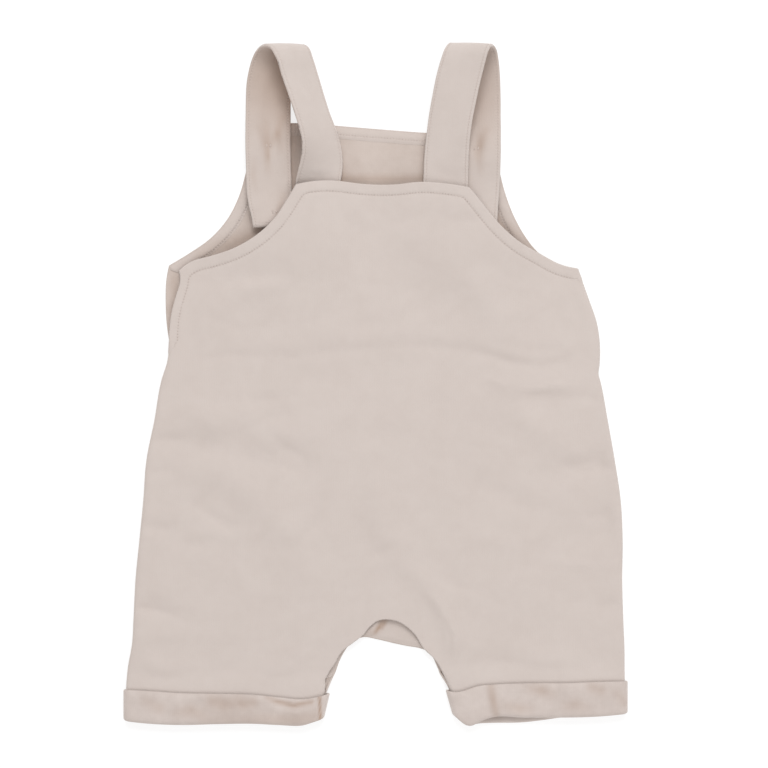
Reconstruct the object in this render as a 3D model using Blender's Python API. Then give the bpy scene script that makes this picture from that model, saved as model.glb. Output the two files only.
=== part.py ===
"""Short dungarees for a baby, laid flat with the back up.

X runs to the right across the garment, Y from the cuffs up to the straps, Z up from the surface it
lies on. Lengths below are in millimetres and are turned into metres where the meshes are made.
"""
import math

import bmesh
import bpy
import numpy as np
from mathutils import Vector
from mathutils.geometry import delaunay_2d_cdt

for old in list(bpy.data.objects):
    bpy.data.objects.remove(old, do_unlink=True)

# Driving dimensions, in millimetres
MM = 0.001
CLOTH = 1.5             # wall of the brushed sweatshirt cloth
GAP = 0.3               # air left between pieces that touch
RIM = 0.45              # how far a cut edge is rounded out beyond the last points
ROLL = 1.4              # radius, in plan, of the rolled side seams
SEAM_Z = 2.7            # height of the side seams over the surface
FRONT_Z = CLOTH / 2     # middle of the front's wall where it lies on the surface
BACK_LOW = 3.2          # middle of the back's wall where it lies on the front
BACK_EDGE = 4.9         # the same beside the rolled side seams
SIDE_SOFT = 16.0        # distance over which the back comes down from the side seams
VENT_FOOT = 10.0        # above this the left edge is an open vent and lies lower than a seam does
VENT_FADE = 30.0
BACK_STEP = 8.8         # spacing of the points of the back
FRONT_STEP = 12.0       # spacing of the points of the front
FACING_WIDTH = 8.0
FACING_THICK = 0.9
INSEAM_THICK = 0.8
STRAP_WIDTH = 29.0
STRAP_THICK = 2.4
STRAP_STEP = 5.5        # spacing of a strap's sections
LEFT_SKEW = 0.08        # how far the loops of the straps lean off square across the garment
RIGHT_SKEW = -0.10
SKEW_FROM = 5.0         # the lean starts at this height and is whole over the next rise
SKEW_RISE = 8.0
BUTTON_R = 5.5
BUTTON_THICK = 2.0
CUFF_LIFT = 2.0         # how far the leg is lifted over the lower wall of the cuff
CUFF_TOP_Z = 8.15       # middle of the cuff's upper wall
LEG_TOP_Z = 6.2         # middle of the back's wall inside the cuff
CUFF_RETURN = 6.0       # how far the cuff turns up inside the leg
CUFF_ACROSS = 13        # points along each wall of a cuff and round each of its ends
CUFF_TURN = 6
RAMP = 12.0             # length over which the legs rise to the cuffs
FOLD_FADE = 12.0        # folds die away over this distance from the side seams
SLANT_REACH = 24.0      # how far from its end a cuff takes up the end's slant
BUMP_R = 7.5            # flat-topped patch of the bib over each button under it
BUMP_FALL = 12.0

# Side seams, shared by front and back, from the armhole or vent down into the cuff
LEFT_SIDE = (
    # x, y
    (-132.4, 25.0), (-133.4, 14.7), (-137.3, 1.9), (-141.8, -23.7), (-146.9, -49.3), (-148.9, -74.9),
    (-151.4, -100.5), (-153.9, -126.1), (-155.2, -151.7), (-156.0, -166.0), (-159.0, -184.0),
    (-159.7, -197.0), (-159.6, -209.0),
)
RIGHT_SIDE = (
    # x, y
    (129.6, 73.3), (136.8, 53.6), (142.0, 38.0), (143.9, 22.1), (143.5, 11.0), (142.9, 6.0), (144.2, 1.0),
    (148.8, -23.7), (153.3, -49.3), (157.1, -74.9), (158.4, -100.0), (158.1, -126.1), (158.8, -151.7),
    (159.6, -172.0), (159.5, -190.0), (159.6, -204.5),
)

# The back, each edge a smooth curve through its rows; together they run round it anticlockwise
BACK_EDGES = (
    # name, rolled into a seam, rows of x, y
    ("vent", 0, ((-125.9, 72.4), (-125.4, 64.4), (-127.4, 57.6), (-130.9, 44.6), (-132.2, 33.0), (-132.4, 25.0))),
    ("left side", 1, LEFT_SIDE),
    ("left hem", 1, ((-159.6, -209.0), (-120.0, -211.8), (-75.0, -211.4), (-34.4, -209.0))),
    ("left leg in cuff", 1, ((-34.4, -209.0), (-32.8, -199.0), (-32.4, -190.5))),
    ("left inner leg", 0, ((-32.4, -190.5), (-30.4, -186.0), (-26.4, -180.0), (-22.0, -172.4),
                           (-14.3, -166.4), (-8.0, -161.4), (-3.6, -156.0), (1.4, -152.2), (6.9, -151.3))),
    ("right inner leg", 0, ((6.9, -151.3), (13.0, -152.3), (19.0, -155.4), (25.0, -161.0), (30.5, -169.7),
                            (38.9, -178.2), (43.2, -186.0))),
    ("right leg in cuff", 1, ((43.2, -186.0), (47.4, -195.0), (49.8, -204.5))),
    ("right hem", 1, ((49.8, -204.5), (66.0, -206.0), (110.0, -206.0), (159.6, -204.5))),
    ("right side", 1, RIGHT_SIDE[::-1]),
    ("right armhole", 0, ((129.6, 73.3), (118.8, 76.0), (105.4, 82.8), (92.0, 90.4), (80.4, 100.4),
                          (71.6, 110.6), (65.2, 118.4), (59.8, 125.0))),
    ("neck", 0, ((59.8, 125.0), (45.0, 127.4), (30.5, 128.7), (12.0, 127.2), (-8.8, 127.7), (-28.4, 129.7),
                 (-40.0, 129.1), (-50.9, 127.0))),
    ("left armhole", 0, ((-50.9, 127.0), (-56.5, 117.4), (-64.4, 105.6), (-77.0, 94.0), (-90.4, 86.4),
                         (-105.0, 81.6), (-118.0, 78.0), (-125.9, 72.4))),
)

# The front, in the same way
FRONT_EDGES = (
    # name, rolled into a seam, rows of x, y
    ("vent", 0, ((-132.9, 75.6), (-134.6, 66.0), (-135.0, 53.6), (-134.5, 40.1), (-132.4, 25.0))),
    ("left side", 1, LEFT_SIDE),
    ("left hem", 1, ((-159.6, -209.0), (-120.0, -211.8), (-75.0, -211.4), (-34.4, -209.0))),
    ("left leg in cuff", 1, ((-34.4, -209.0), (-31.8, -199.0), (-28.4, -191.0))),
    ("left inseam", 0, ((-28.4, -191.0), (-26.0, -186.2), (-22.7, -177.4), (-16.5, -168.0),
                        (-8.0, -163.2), (0.4, -164.5), (10.2, -166.8))),
    ("right inseam", 0, ((10.2, -166.8), (20.0, -168.9), (28.5, -170.4), (34.4, -173.0), (38.8, -180.5),
                         (41.2, -186.5))),
    ("right leg in cuff", 1, ((41.2, -186.5), (46.6, -195.0), (49.8, -204.5))),
    ("right hem", 1, ((49.8, -204.5), (66.0, -209.0), (90.0, -211.0), (118.0, -208.4), (159.6, -204.5))),
    ("right side", 1, RIGHT_SIDE[::-1]),
    ("right armhole", 0, ((129.6, 73.3), (116.0, 77.2), (104.0, 84.6), (96.4, 94.0), (89.6, 105.8),
                          (84.3, 119.0), (80.2, 134.0), (77.4, 148.0), (75.0, 160.6))),
    ("bib top", 0, ((75.0, 160.6), (32.4, 161.0), (5.0, 163.0), (-26.4, 165.4), (-77.4, 168.0))),
    ("left armhole", 0, ((-77.4, 168.0), (-80.6, 150.0), (-83.6, 134.8), (-88.2, 119.2), (-96.0, 104.4),
                         (-107.0, 92.4), (-119.0, 84.0), (-132.9, 75.6))),
)

# Inner edge of the strip along the inner legs and the crotch, from the left cuff to the right one
INSEAM_INNER = (
    # x, y
    (-43.0, -193.4), (-38.6, -184.0), (-31.0, -171.0), (-20.0, -160.5), (-8.0, -148.6), (6.0, -143.0),
    (21.0, -146.8), (33.0, -157.6), (44.6, -170.0), (52.6, -183.0), (56.6, -190.0),
)

# Large folds of the back: a row for each stretch of a fold. Width is to where it has died away to
# a third; height is up, or down for a trough.
BACK_FOLDS = (
    # x0, y0, x1, y1, width, height
    (-127.0, 14.7, -60.0, 21.0, 10.0, -0.8),
    (-60.0, 21.0, 54.0, 22.4, 10.0, -0.9),
    (54.0, 22.4, 110.0, 13.4, 9.0, -1.0),
    (110.0, 13.4, 136.0, 18.6, 9.0, -0.9),
    (90.6, -2.4, 120.0, -4.2, 7.0, 1.1),
    (24.6, 100.5, 83.5, 48.0, 11.0, 1.5),
    (83.5, 48.0, 92.5, 27.5, 10.0, 1.1),
    (21.4, -122.9, 41.3, -138.9, 10.0, 1.6),
    (41.3, -138.9, 50.9, -164.5, 9.0, 2.0),
    (50.9, -164.5, 47.7, -184.0, 9.0, 1.5),
    (-137.9, -41.0, -61.0, -48.0, 10.0, -0.7),
    (-112.0, -62.0, -54.0, -98.0, 12.0, 1.5),
    (-24.0, -152.0, -48.0, -182.0, 10.0, 1.3),
    (-153.3, -142.7, -132.0, -146.6, 8.0, -1.2),
    (152.0, -92.0, 132.0, -98.0, 8.0, -1.1),
    (143.0, -36.5, 122.0, -33.0, 8.0, -1.1),
    (-40.0, 96.0, -92.0, 52.0, 14.0, 0.9),
)

# Where the back stands off the front by itself: the crotch arch and the inner legs below it
BACK_LIFTS = (
    # x, y, half_x, half_y, fall, height of the middle of the wall
    (6.0, -154.0, 4.0, 3.0, 22.0, 5.6),
    (6.0, -172.0, 36.0, 30.0, 14.0, 3.9),
)

# What the back is laid over: straps, buttons and facings under it
BACK_SUPPORTS = (
    # x, y, half_x, half_y, fall, height of the middle of the wall
    (-36.8, 124.0, 16.0, 8.0, 30.0, 6.2),
    (-65.0, 110.0, 15.5, 13.0, 36.0, 8.9),
    (34.0, 124.0, 6.0, 8.0, 32.0, 7.6),
    (45.0, 124.0, 4.0, 8.0, 34.0, 9.2),
    (56.0, 124.0, 5.0, 8.0, 36.0, 10.6),
    (64.0, 108.0, 15.5, 13.0, 38.0, 8.9),
    (-98.0, 84.0, 40.0, 14.0, 12.0, 4.1),
    (116.0, 84.0, 30.0, 14.0, 12.0, 4.1),
    (-130.0, 50.0, 8.0, 30.0, 12.0, 3.9),
    (-34.0, -190.0, 4.0, 7.0, 14.0, 4.9),
    (46.0, -187.0, 4.0, 7.0, 14.0, 4.9),
)

# Middle lines of the straps, from the end inside the bib, round the open loop, to the back's neck edge.
# Tilt is how far the right-hand edge hangs below the left-hand one.
LEFT_STRAP = (
    # x, y, z, tilt in degrees
    (-63.8, 99.6, 5.8, 6), (-64.8, 105.5, 6.2, 6), (-66.6, 113.6, 6.4, 7), (-67.9, 122.0, 5.7, 9),
    (-68.3, 131.0, 5.9, 9), (-68.5, 140.0, 7.0, 9), (-68.6, 147.0, 7.9, 9), (-68.7, 153.0, 8.2, 9),
    (-68.7, 160.0, 8.1, 9), (-68.7, 168.0, 7.1, 10), (-68.7, 180.0, 4.8, 11), (-68.2, 192.0, 4.8, 13),
    (-66.4, 201.5, 5.7, 15), (-64.0, 208.8, 7.7, 20), (-61.2, 213.2, 10.4, 26), (-57.8, 214.6, 13.6, 31),
    (-54.2, 212.4, 15.6, 35), (-51.9, 207.7, 15.4, 39), (-47.7, 194.4, 12.8, 39), (-42.5, 178.6, 11.6, 38),
    (-38.9, 168.3, 13.0, 40), (-36.7, 161.9, 14.2, 42), (-34.9, 154.6, 13.9, 42), (-34.2, 148.0, 12.4, 39),
    (-34.4, 141.7, 10.2, 31), (-35.4, 136.0, 7.0, 18), (-36.5, 131.0, 3.9, 4), (-37.0, 126.0, 3.2, 0),
    (-37.4, 119.6, 3.2, 0),
)
RIGHT_STRAP = (
    # x, y, z, tilt in degrees
    (63.0, 97.6, 5.6, -2), (63.4, 104.0, 5.7, -2), (63.9, 113.5, 5.7, -3), (64.6, 122.0, 5.0, -5),
    (65.1, 130.0, 5.3, -6), (65.3, 137.0, 6.5, -7), (65.4, 143.0, 7.7, -7), (65.5, 150.0, 8.1, -7),
    (65.5, 157.0, 7.9, -7), (65.6, 163.0, 6.9, -7), (65.6, 169.0, 5.5, -8), (65.7, 180.0, 3.9, -8),
    (65.5, 190.0, 3.9, -9), (65.1, 199.0, 4.3, -10), (64.3, 207.0, 5.7, -13), (63.2, 212.6, 8.2, -18),
    (61.6, 215.0, 11.6, -23), (59.8, 214.8, 14.6, -23), (57.7, 211.4, 16.2, -20), (56.0, 206.2, 16.0, -16),
    (53.9, 198.8, 14.8, -14), (50.0, 180.8, 12.2, -15), (47.7, 168.2, 10.8, -17), (46.4, 158.0, 9.6, -17),
    (45.6, 149.0, 8.4, -15), (45.1, 140.0, 7.3, -12), (44.9, 131.0, 6.3, -8), (44.8, 126.0, 6.2, -6),
    (44.9, 119.4, 6.4, -6),
)

# Buttons: where each lies and the height of its underside
BUTTONS = (
    # name, x, y, z
    ("button_left", -68.4, 152.6, 0.0),
    ("button_right", 64.4, 149.8, 0.0),
    ("spare_button_left", -64.8, 109.2, CLOTH + GAP),
    ("spare_button_right", 63.2, 108.0, CLOTH + GAP),
)

# Cuffs: how far they reach and, across the leg, their top and bottom edges on the upper and lower wall
CUFFS = {
    "cuff_left": {
        "ends": (-161.6, -29.2),
        "slant": (0.0, -0.24),
        "rows": (
            # x, top above, bottom above, top below, bottom below, how far the upper wall stands up
            (-161.6, -196.0, -215.9, -196.5, -215.9, 0.0),
            (-149.0, -196.4, -217.4, -197.0, -217.4, 0.3),
            (-124.0, -198.0, -218.6, -198.0, -218.6, 0.9),
            (-101.0, -198.4, -218.0, -198.4, -218.0, 0.2),
            (-78.0, -199.0, -217.8, -199.0, -217.8, 0.8),
            (-62.0, -200.6, -218.6, -200.0, -218.6, 0.1),
            (-46.0, -201.8, -218.9, -201.0, -218.9, 0.7),
            (-36.0, -200.2, -216.6, -200.0, -216.6, 0.2),
            (-29.2, -198.4, -214.8, -198.4, -214.8, 0.0),
        ),
    },
    "cuff_right": {
        "ends": (44.8, 161.6),
        "slant": (0.28, 0.0),
        "rows": (
            # x, top above, bottom above, top below, bottom below, how far the upper wall stands up
            (44.8, -196.4, -212.0, -196.4, -212.6, 0.0),
            (53.0, -197.2, -218.4, -197.2, -218.8, 0.3),
            (60.0, -195.2, -218.9, -195.4, -219.4, 0.6),
            (66.0, -193.4, -216.6, -194.0, -218.6, 0.1),
            (74.0, -192.6, -213.8, -193.2, -218.2, 0.6),
            (94.8, -191.7, -213.8, -192.6, -217.8, 0.9),
            (108.0, -191.6, -213.8, -192.4, -216.3, 0.3),
            (122.0, -191.6, -213.8, -192.0, -214.4, 0.8),
            (142.0, -190.8, -213.2, -191.4, -213.6, 0.2),
            (161.6, -190.5, -211.4, -191.0, -211.4, 0.0),
        ),
    },
}


def material(name, colour, rough):
    """Principled material of one colour and roughness."""
    made = bpy.data.materials.new(name)
    made.use_nodes = True
    shader = made.node_tree.nodes["Principled BSDF"]
    shader.inputs["Base Color"].default_value = (*colour, 1.0)
    shader.inputs["Roughness"].default_value = rough
    shader.inputs["Metallic"].default_value = 0.0
    made.diffuse_color = (*colour, 1.0)
    return made


OUTER = material("oat_jersey", (0.63, 0.56, 0.52), 0.95)
INNER = material("oat_jersey_inside", (0.65, 0.58, 0.54), 0.97)
TAPE = material("oat_facing", (0.60, 0.53, 0.49), 0.95)
CUFF = material("oat_cuff", (0.56, 0.475, 0.44), 0.97)
BUTTON = material("button_beige", (0.62, 0.53, 0.45), 0.45)


def smooth_step(value):
    """0 below 0, 1 above 1, with a soft rise between."""
    part = np.clip(value, 0.0, 1.0)
    return part * part * (3.0 - 2.0 * part)


def smooth_curve(rows, step, measured=2):
    """Evenly spaced points on a smooth curve through the rows; the first columns are the ones in space."""
    rows = np.array(rows, float)
    chord = np.linalg.norm(np.diff(rows[:, :measured], axis=0), axis=1)
    if len(rows) == 2:
        count = max(1, round(chord[0] / step))
        return rows[0] + (rows[1] - rows[0]) * np.linspace(0, 1, count + 1)[:, None]
    slope = np.diff(rows, axis=0) / chord[:, None]
    tangent = np.empty_like(rows)
    share = (chord[:-1] / (chord[:-1] + chord[1:]))[:, None]
    tangent[1:-1] = slope[:-1] * (1 - share) + slope[1:] * share
    tangent[0] = 1.5 * slope[0] - 0.5 * tangent[1]
    tangent[-1] = 1.5 * slope[-1] - 0.5 * tangent[-2]
    dense = [rows[:1]]
    for i, length in enumerate(chord):
        t = np.linspace(0, 1, 13)[1:, None]
        dense.append(rows[i] * (2 * t**3 - 3 * t**2 + 1) + tangent[i] * length * (t**3 - 2 * t**2 + t)
                     + rows[i + 1] * (3 * t**2 - 2 * t**3) + tangent[i + 1] * length * (t**3 - t**2))
    dense = np.vstack(dense)
    along = np.concatenate([[0], np.cumsum(np.linalg.norm(np.diff(dense[:, :measured], axis=0), axis=1))])
    count = max(1, round(along[-1] / step))
    wanted = np.linspace(0, along[-1], count + 1)
    return np.stack([np.interp(wanted, along, column) for column in dense.T], axis=1)


def inside(points, polygon):
    """True for each point within the closed polygon."""
    x, y = points[:, 0][:, None], points[:, 1][:, None]
    x0, y0 = polygon[:, 0], polygon[:, 1]
    x1, y1 = np.roll(x0, -1), np.roll(y0, -1)
    spans = (y0 > y) != (y1 > y)
    rise = np.where(y1 == y0, 1.0, y1 - y0)
    crossing = x0 + (y - y0) * (x1 - x0) / rise
    return (np.sum(spans & (x < crossing), axis=1) % 2) == 1


def distance(points, line, closed=True):
    """Distance in plan from each point to a line of points."""
    start = line if closed else line[:-1]
    end = np.roll(line, -1, axis=0) if closed else line[1:]
    span = end - start
    length = np.maximum(np.sum(span * span, axis=1), 1e-12)
    best = np.full(len(points), 1e9)
    for a, d, l2 in zip(start, span, length):
        t = np.clip(((points - a) @ d) / l2, 0, 1)
        best = np.minimum(best, np.linalg.norm(points - a - t[:, None] * d, axis=1))
    return best


def dense_near(line):
    """The same line with more points on it beside the buttons that raise the bib."""
    spots = np.array([(x, y) for name, x, y, z in BUTTONS if z == 0])
    rows = [line[0]]
    for a, b in zip(line[:-1], line[1:]):
        away = np.min(np.linalg.norm((a + b) / 2 - spots, axis=1))
        parts = 4 if away < BUMP_R + BUMP_FALL else 1
        rows.extend(a + (b - a) * k / parts for k in range(1, parts + 1))
    return np.array(rows)


class Panel:
    """Flat cloth cut to an outline, with close rows of points beside its edge."""

    def __init__(self, edges, step):
        self.step = step
        points, rolled, names = [], [], []
        for name, roll, rows in edges:
            run = smooth_curve(rows, step)
            points.extend(run[:-1])
            rolled.extend([roll] * (len(run) - 1))
            names.extend([name] * (len(run) - 1))
        loop = np.array(points)
        rolled = np.array(rolled, float)
        joint = np.array(names) != np.roll(names, 1)
        rolled = np.where(joint, (rolled + np.roll(rolled, 1)) / 2, rolled)
        ahead = np.roll(loop, -1, axis=0) - loop
        ahead /= np.linalg.norm(ahead, axis=1)[:, None]
        left = np.stack([-ahead[:, 1], ahead[:, 0]], axis=1)
        inward = left + np.roll(left, 1, axis=0)
        inward /= np.linalg.norm(inward, axis=1)[:, None]
        mitre = np.clip(np.sum(inward * left, axis=1), 0.6, 1.0)
        self.inward = inward / mitre[:, None]
        self.loop = loop
        self.rolled = rolled
        self.names = np.array(names)
        tip = loop + self.inward * (rolled * CLOTH / 2 + (1 - rolled) * RIM)[:, None]
        self.turns = np.radians([0.0, 45.0, 90.0])
        self.rings = [tip + self.inward * ROLL * (1 - math.cos(turn)) for turn in self.turns]
        self.bands = []

    def run(self, first, last, skip_first=0, skip_last=0):
        """Indices of the outline from the start of one edge to the end of another."""
        start = int(np.argmax(self.names == first)) + skip_first
        stop = len(self.names) - int(np.argmax(self.names[::-1] == last)) - skip_last
        return np.arange(start, stop + 1) % len(self.loop)

    def band(self, indices, inner):
        """Closed strip between part of the innermost ring and an inner line running the same way."""
        polygon = np.vstack([self.rings[-1][indices], inner[::-1]])
        self.bands.append(polygon)
        return polygon

    def mesh(self, extra=()):
        """Fill the outline with triangles."""
        fixed = list(self.rings) + list(self.bands)
        low, high = self.loop.min(axis=0), self.loop.max(axis=0)
        lattice = []
        row_height = self.step * math.sqrt(3) / 2
        for j in range(int((high[1] - low[1]) / row_height) + 1):
            shift = (j % 2) * self.step / 2
            for i in range(int((high[0] - low[0]) / self.step) + 2):
                lattice.append((low[0] + i * self.step + shift, low[1] + (j + 0.5) * row_height))
        lattice = np.array(lattice)
        keep = inside(lattice, self.rings[-1]) & (distance(lattice, self.rings[-1]) > 0.6 * self.step)
        for polygon in self.bands:
            keep &= distance(lattice, polygon) > 0.45 * self.step
        lattice = lattice[keep]
        edge = self.rings[-1]
        near = 0.2 * self.step
        extra = [spot[inside(spot, edge) & (distance(spot, edge) > near)] for spot in extra]
        for polygon in self.bands:
            extra = [spot[distance(spot, polygon) > near] for spot in extra]
        extra = [spot for spot in extra if len(spot)]
        for spot in extra:
            away = np.min(np.linalg.norm(lattice[:, None] - spot[None], axis=2), axis=1)
            lattice = lattice[away > 0.4 * self.step]
        groups = fixed + [lattice] + [np.array(spot) for spot in extra]
        flat, links, base = [], [], 0
        for k, group in enumerate(groups):
            flat.extend(Vector(p) for p in group)
            if k < len(fixed):
                links.extend((base + i, base + (i + 1) % len(group)) for i in range(len(group)))
            base += len(group)
        verts, _, faces, source, _, _ = delaunay_2d_cdt(flat, links, [], 1, 1e-4)
        self.points = np.array([(v.x, v.y) for v in verts])
        self.tris = np.array([f if len(f) == 3 else f[:3] for f in faces])
        count = len(self.loop)
        self.ring = np.full(len(verts), -1)
        self.place = np.full(len(verts), -1)
        for i, origins in enumerate(source):
            for origin in origins:
                if origin < count * len(self.rings):
                    self.ring[i] = origin // count
                    self.place[i] = origin % count
        a, b, c = (self.points[self.tris[:, k]] for k in range(3))
        area = (b[:, 0] - a[:, 0]) * (c[:, 1] - a[:, 1]) - (b[:, 1] - a[:, 1]) * (c[:, 0] - a[:, 0])
        self.tris[area < 0] = self.tris[area < 0][:, ::-1]

    def lift(self, height, seam):
        """Raise the flat cloth to its height, its seam edges rolled to the seam's height."""
        x, y = self.points.T
        z = height(x, y)
        on_ring = self.ring >= 0
        roll = np.where(on_ring, self.rolled[self.place], 0.0)
        turned = np.sin(self.turns[np.maximum(self.ring, 0)])
        z = np.where(on_ring, z + roll * (seam(x, y) - z) * (1 - turned), z)
        self.middle = np.stack([x, y, z], axis=1)
        normal = vertex_normals(self.middle, self.tris)
        outermost = {}
        for i in range(len(self.points)):
            if self.ring[i] == 1:
                outermost[self.place[i]] = i
        for i in np.flatnonzero(self.ring == 0):
            change = normal[i] - normal[outermost[self.place[i]]]
            turned_on = normal[i] + change * self.rolled[self.place[i]]
            normal[i] = turned_on / np.linalg.norm(turned_on)
        self.normal = normal

    def part_of(self, polygon):
        """Triangles that lie within a closed line."""
        middle = self.points[self.tris].mean(axis=1)
        return self.tris[inside(middle, polygon)]


def vertex_normals(points, tris):
    """Normal at each point, weighted by the faces round it."""
    a, b, c = (points[tris[:, k]] for k in range(3))
    face = np.cross(b - a, c - a)
    normal = np.zeros_like(points)
    for k in range(3):
        np.add.at(normal, tris[:, k], face)
    length = np.linalg.norm(normal, axis=1)
    return normal / np.where(length > 0, length, 1)[:, None]


def solid(name, points, faces, surface):
    """Mesh object, in metres, from points in millimetres."""
    mesh = bpy.data.meshes.new(name)
    mesh.from_pydata([tuple(p * MM) for p in points], [], [tuple(int(i) for i in f) for f in faces])
    mesh.materials.append(surface)
    made = bmesh.new()
    made.from_mesh(mesh)
    bmesh.ops.recalc_face_normals(made, faces=made.faces)
    made.to_mesh(mesh)
    made.free()
    for polygon in mesh.polygons:
        polygon.use_smooth = True
    item = bpy.data.objects.new(name, mesh)
    bpy.context.scene.collection.objects.link(item)
    return item


def cloth(name, middle, normal, tris, thick, surface, raised=0.0, rim=RIM):
    """Solid cloth of even thickness round a middle surface, with rounded edges."""
    used = np.unique(tris)
    index = np.full(len(middle), -1)
    index[used] = np.arange(len(used))
    tris = index[tris]
    normal = normal[used]
    middle = middle[used] + normal * raised
    upper = middle + normal * thick / 2
    lower = middle - normal * thick / 2
    edges = {}
    for a, b, c in tris:
        for pair in ((a, b), (b, c), (c, a)):
            edges[pair] = edges.get(pair, 0) + 1
    border = [pair for pair in edges if pair[::-1] not in edges]
    out = np.zeros_like(middle)
    for a, b in border:
        along = middle[b] - middle[a]
        along /= np.linalg.norm(along)
        out[a] += np.cross(along, normal[a])
        out[b] += np.cross(along, normal[b])
    bordered = sorted({i for pair in border for i in pair})
    rims = {v: 2 * len(used) + k for k, v in enumerate(bordered)}
    rim_points = []
    for v in bordered:
        rim_points.append(middle[v] + out[v] / np.linalg.norm(out[v]) * rim)
    count = len(used)
    faces = [tuple(t) for t in tris] + [tuple(t[::-1] + count) for t in tris]
    for a, b in border:
        faces += [(b, a, rims[a]), (b, rims[a], rims[b])]
        faces += [(rims[b], rims[a], a + count), (rims[b], a + count, b + count)]
    return solid(name, np.vstack([upper, lower, np.array(rim_points)]), faces, surface)


def swept(name, rows, skew, step, width, thick, surface):
    """Flat strap with rounded edges along a middle line with a tilt at each row, its loop a little askew."""
    path = smooth_curve(rows, step, measured=3)
    centre = path[:, :3]
    tilt = np.radians(path[:, 3])
    ahead = np.gradient(centre, axis=0)
    ahead /= np.linalg.norm(ahead, axis=1)[:, None]
    lean = skew * smooth_step((centre[:, 2] - SKEW_FROM) / SKEW_RISE)
    across = np.stack([np.cos(tilt), lean, -np.sin(tilt)], axis=1)
    up = np.cross(across, ahead)
    up /= np.linalg.norm(up, axis=1)[:, None]
    profile = []
    soft = thick * 0.3
    for side in (1, -1):
        for u, v in ((0.5 * width - soft, -side * 0.5 * thick), (0.5 * width, 0.0),
                     (0.5 * width - soft, side * 0.5 * thick), (0.0, side * 0.5 * thick)):
            profile.append((side * u, v))
    points = [centre[:, None] + across[:, None] * u + up[:, None] * v for u, v in profile]
    grid = np.concatenate(points, axis=1)
    rows_count, ring = grid.shape[:2]
    faces = []
    for i in range(rows_count - 1):
        for j in range(ring):
            a, b = i * ring + j, i * ring + (j + 1) % ring
            faces += [(a, b, b + ring), (a, b + ring, a + ring)]
    flat = grid.reshape(-1, 3)
    caps = np.array([centre[0] - ahead[0] * RIM, centre[-1] + ahead[-1] * RIM])
    for j in range(ring):
        faces.append((len(flat), (j + 1) % ring, j))
        last = (rows_count - 1) * ring
        faces.append((len(flat) + 1, last + j, last + (j + 1) % ring))
    return solid(name, np.vstack([flat, caps]), faces, surface)


def cuff_top(x):
    """Height in plan of the cuffs' top edges, the left one lower than the right."""
    return np.where(x < 0, -198.2, -192.6)


def leg_rise(x, y):
    """0 on the body, 1 where the leg lies inside the cuff."""
    return smooth_step((cuff_top(x) + 3.0 + RAMP - y) / RAMP)


def plateau(x, y, centre_x, centre_y, half_x, half_y, fall):
    """1 on a flat-topped patch, falling softly to 0 round it."""
    away = np.hypot(np.maximum(np.abs(x - centre_x) - half_x, 0), np.maximum(np.abs(y - centre_y) - half_y, 0))
    return smooth_step(1 - away / fall)


def seam_height(x, y):
    """Height of the line where front and back meet."""
    return SEAM_Z + (0.5 * (FRONT_Z + CUFF_LIFT + LEG_TOP_Z) - 0.1 - SEAM_Z) * leg_rise(x, y)


def front_height(x, y):
    """Middle of the front's wall: on the surface, raised over the buttons and inside the cuffs."""
    z = FRONT_Z + CUFF_LIFT * leg_rise(x, y)
    for name, button_x, button_y, button_z in BUTTONS:
        if button_z == 0:
            away = np.hypot(x - button_x, y - button_y) - BUMP_R
            z = z + (BUTTON_THICK + GAP) * smooth_step(1 - away / BUMP_FALL)
    return z


def fold(x, y, row):
    """Height of one stretch of a fold."""
    x0, y0, x1, y1, width, height = row
    start, span = np.array([x0, y0]), np.array([x1 - x0, y1 - y0])
    t = np.clip(((x - start[0]) * span[0] + (y - start[1]) * span[1]) / (span @ span), 0, 1)
    away = np.hypot(x - start[0] - t * span[0], y - start[1] - t * span[1])
    return height * np.exp(-(away / width) ** 2)


def back_height(x, y):
    """Middle of the back's wall: on the front in the middle, over straps, facings and cuffs at the edges."""
    left = np.interp(-y, [-p[1] for p in LEFT_SIDE], [p[0] for p in LEFT_SIDE])
    right = np.interp(-y, [-p[1] for p in RIGHT_SIDE], [p[0] for p in RIGHT_SIDE])
    beside = np.clip(np.minimum(x - left, right - x), 0, None)
    sewn = np.where(x > 0, 1.0, smooth_step((VENT_FOOT + VENT_FADE - y) / VENT_FADE))
    base = BACK_LOW + (BACK_EDGE - BACK_LOW) * np.exp(-beside / SIDE_SOFT) * sewn
    for cx, cy, half_x, half_y, fall, height in BACK_LIFTS:
        base = np.maximum(base, BACK_LOW + (height - BACK_LOW) * plateau(x, y, cx, cy, half_x, half_y, fall))
    held = np.zeros_like(x)
    top = base
    for cx, cy, half_x, half_y, fall, height in BACK_SUPPORTS:
        part = plateau(x, y, cx, cy, half_x, half_y, fall)
        top = np.maximum(top, base + (height - base) * part)
        held = np.maximum(held, part)
    folds = sum(fold(x, y, row) for row in BACK_FOLDS)
    rise = leg_rise(x, y)
    z = top + folds * (1 - held) * (1 - rise) * smooth_step(beside / FOLD_FADE)
    z = np.maximum(z, FRONT_Z + CLOTH + GAP + 0.05)
    return z + (LEG_TOP_Z - z) * rise


def back_seam(x, y):
    """Last points of the back at the seam, above the front's."""
    return seam_height(x, y) + GAP / 2 + RIM


def front_seam(x, y):
    """Last points of the front at the seam, below the back's."""
    return seam_height(x, y) - GAP / 2 - RIM


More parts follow.
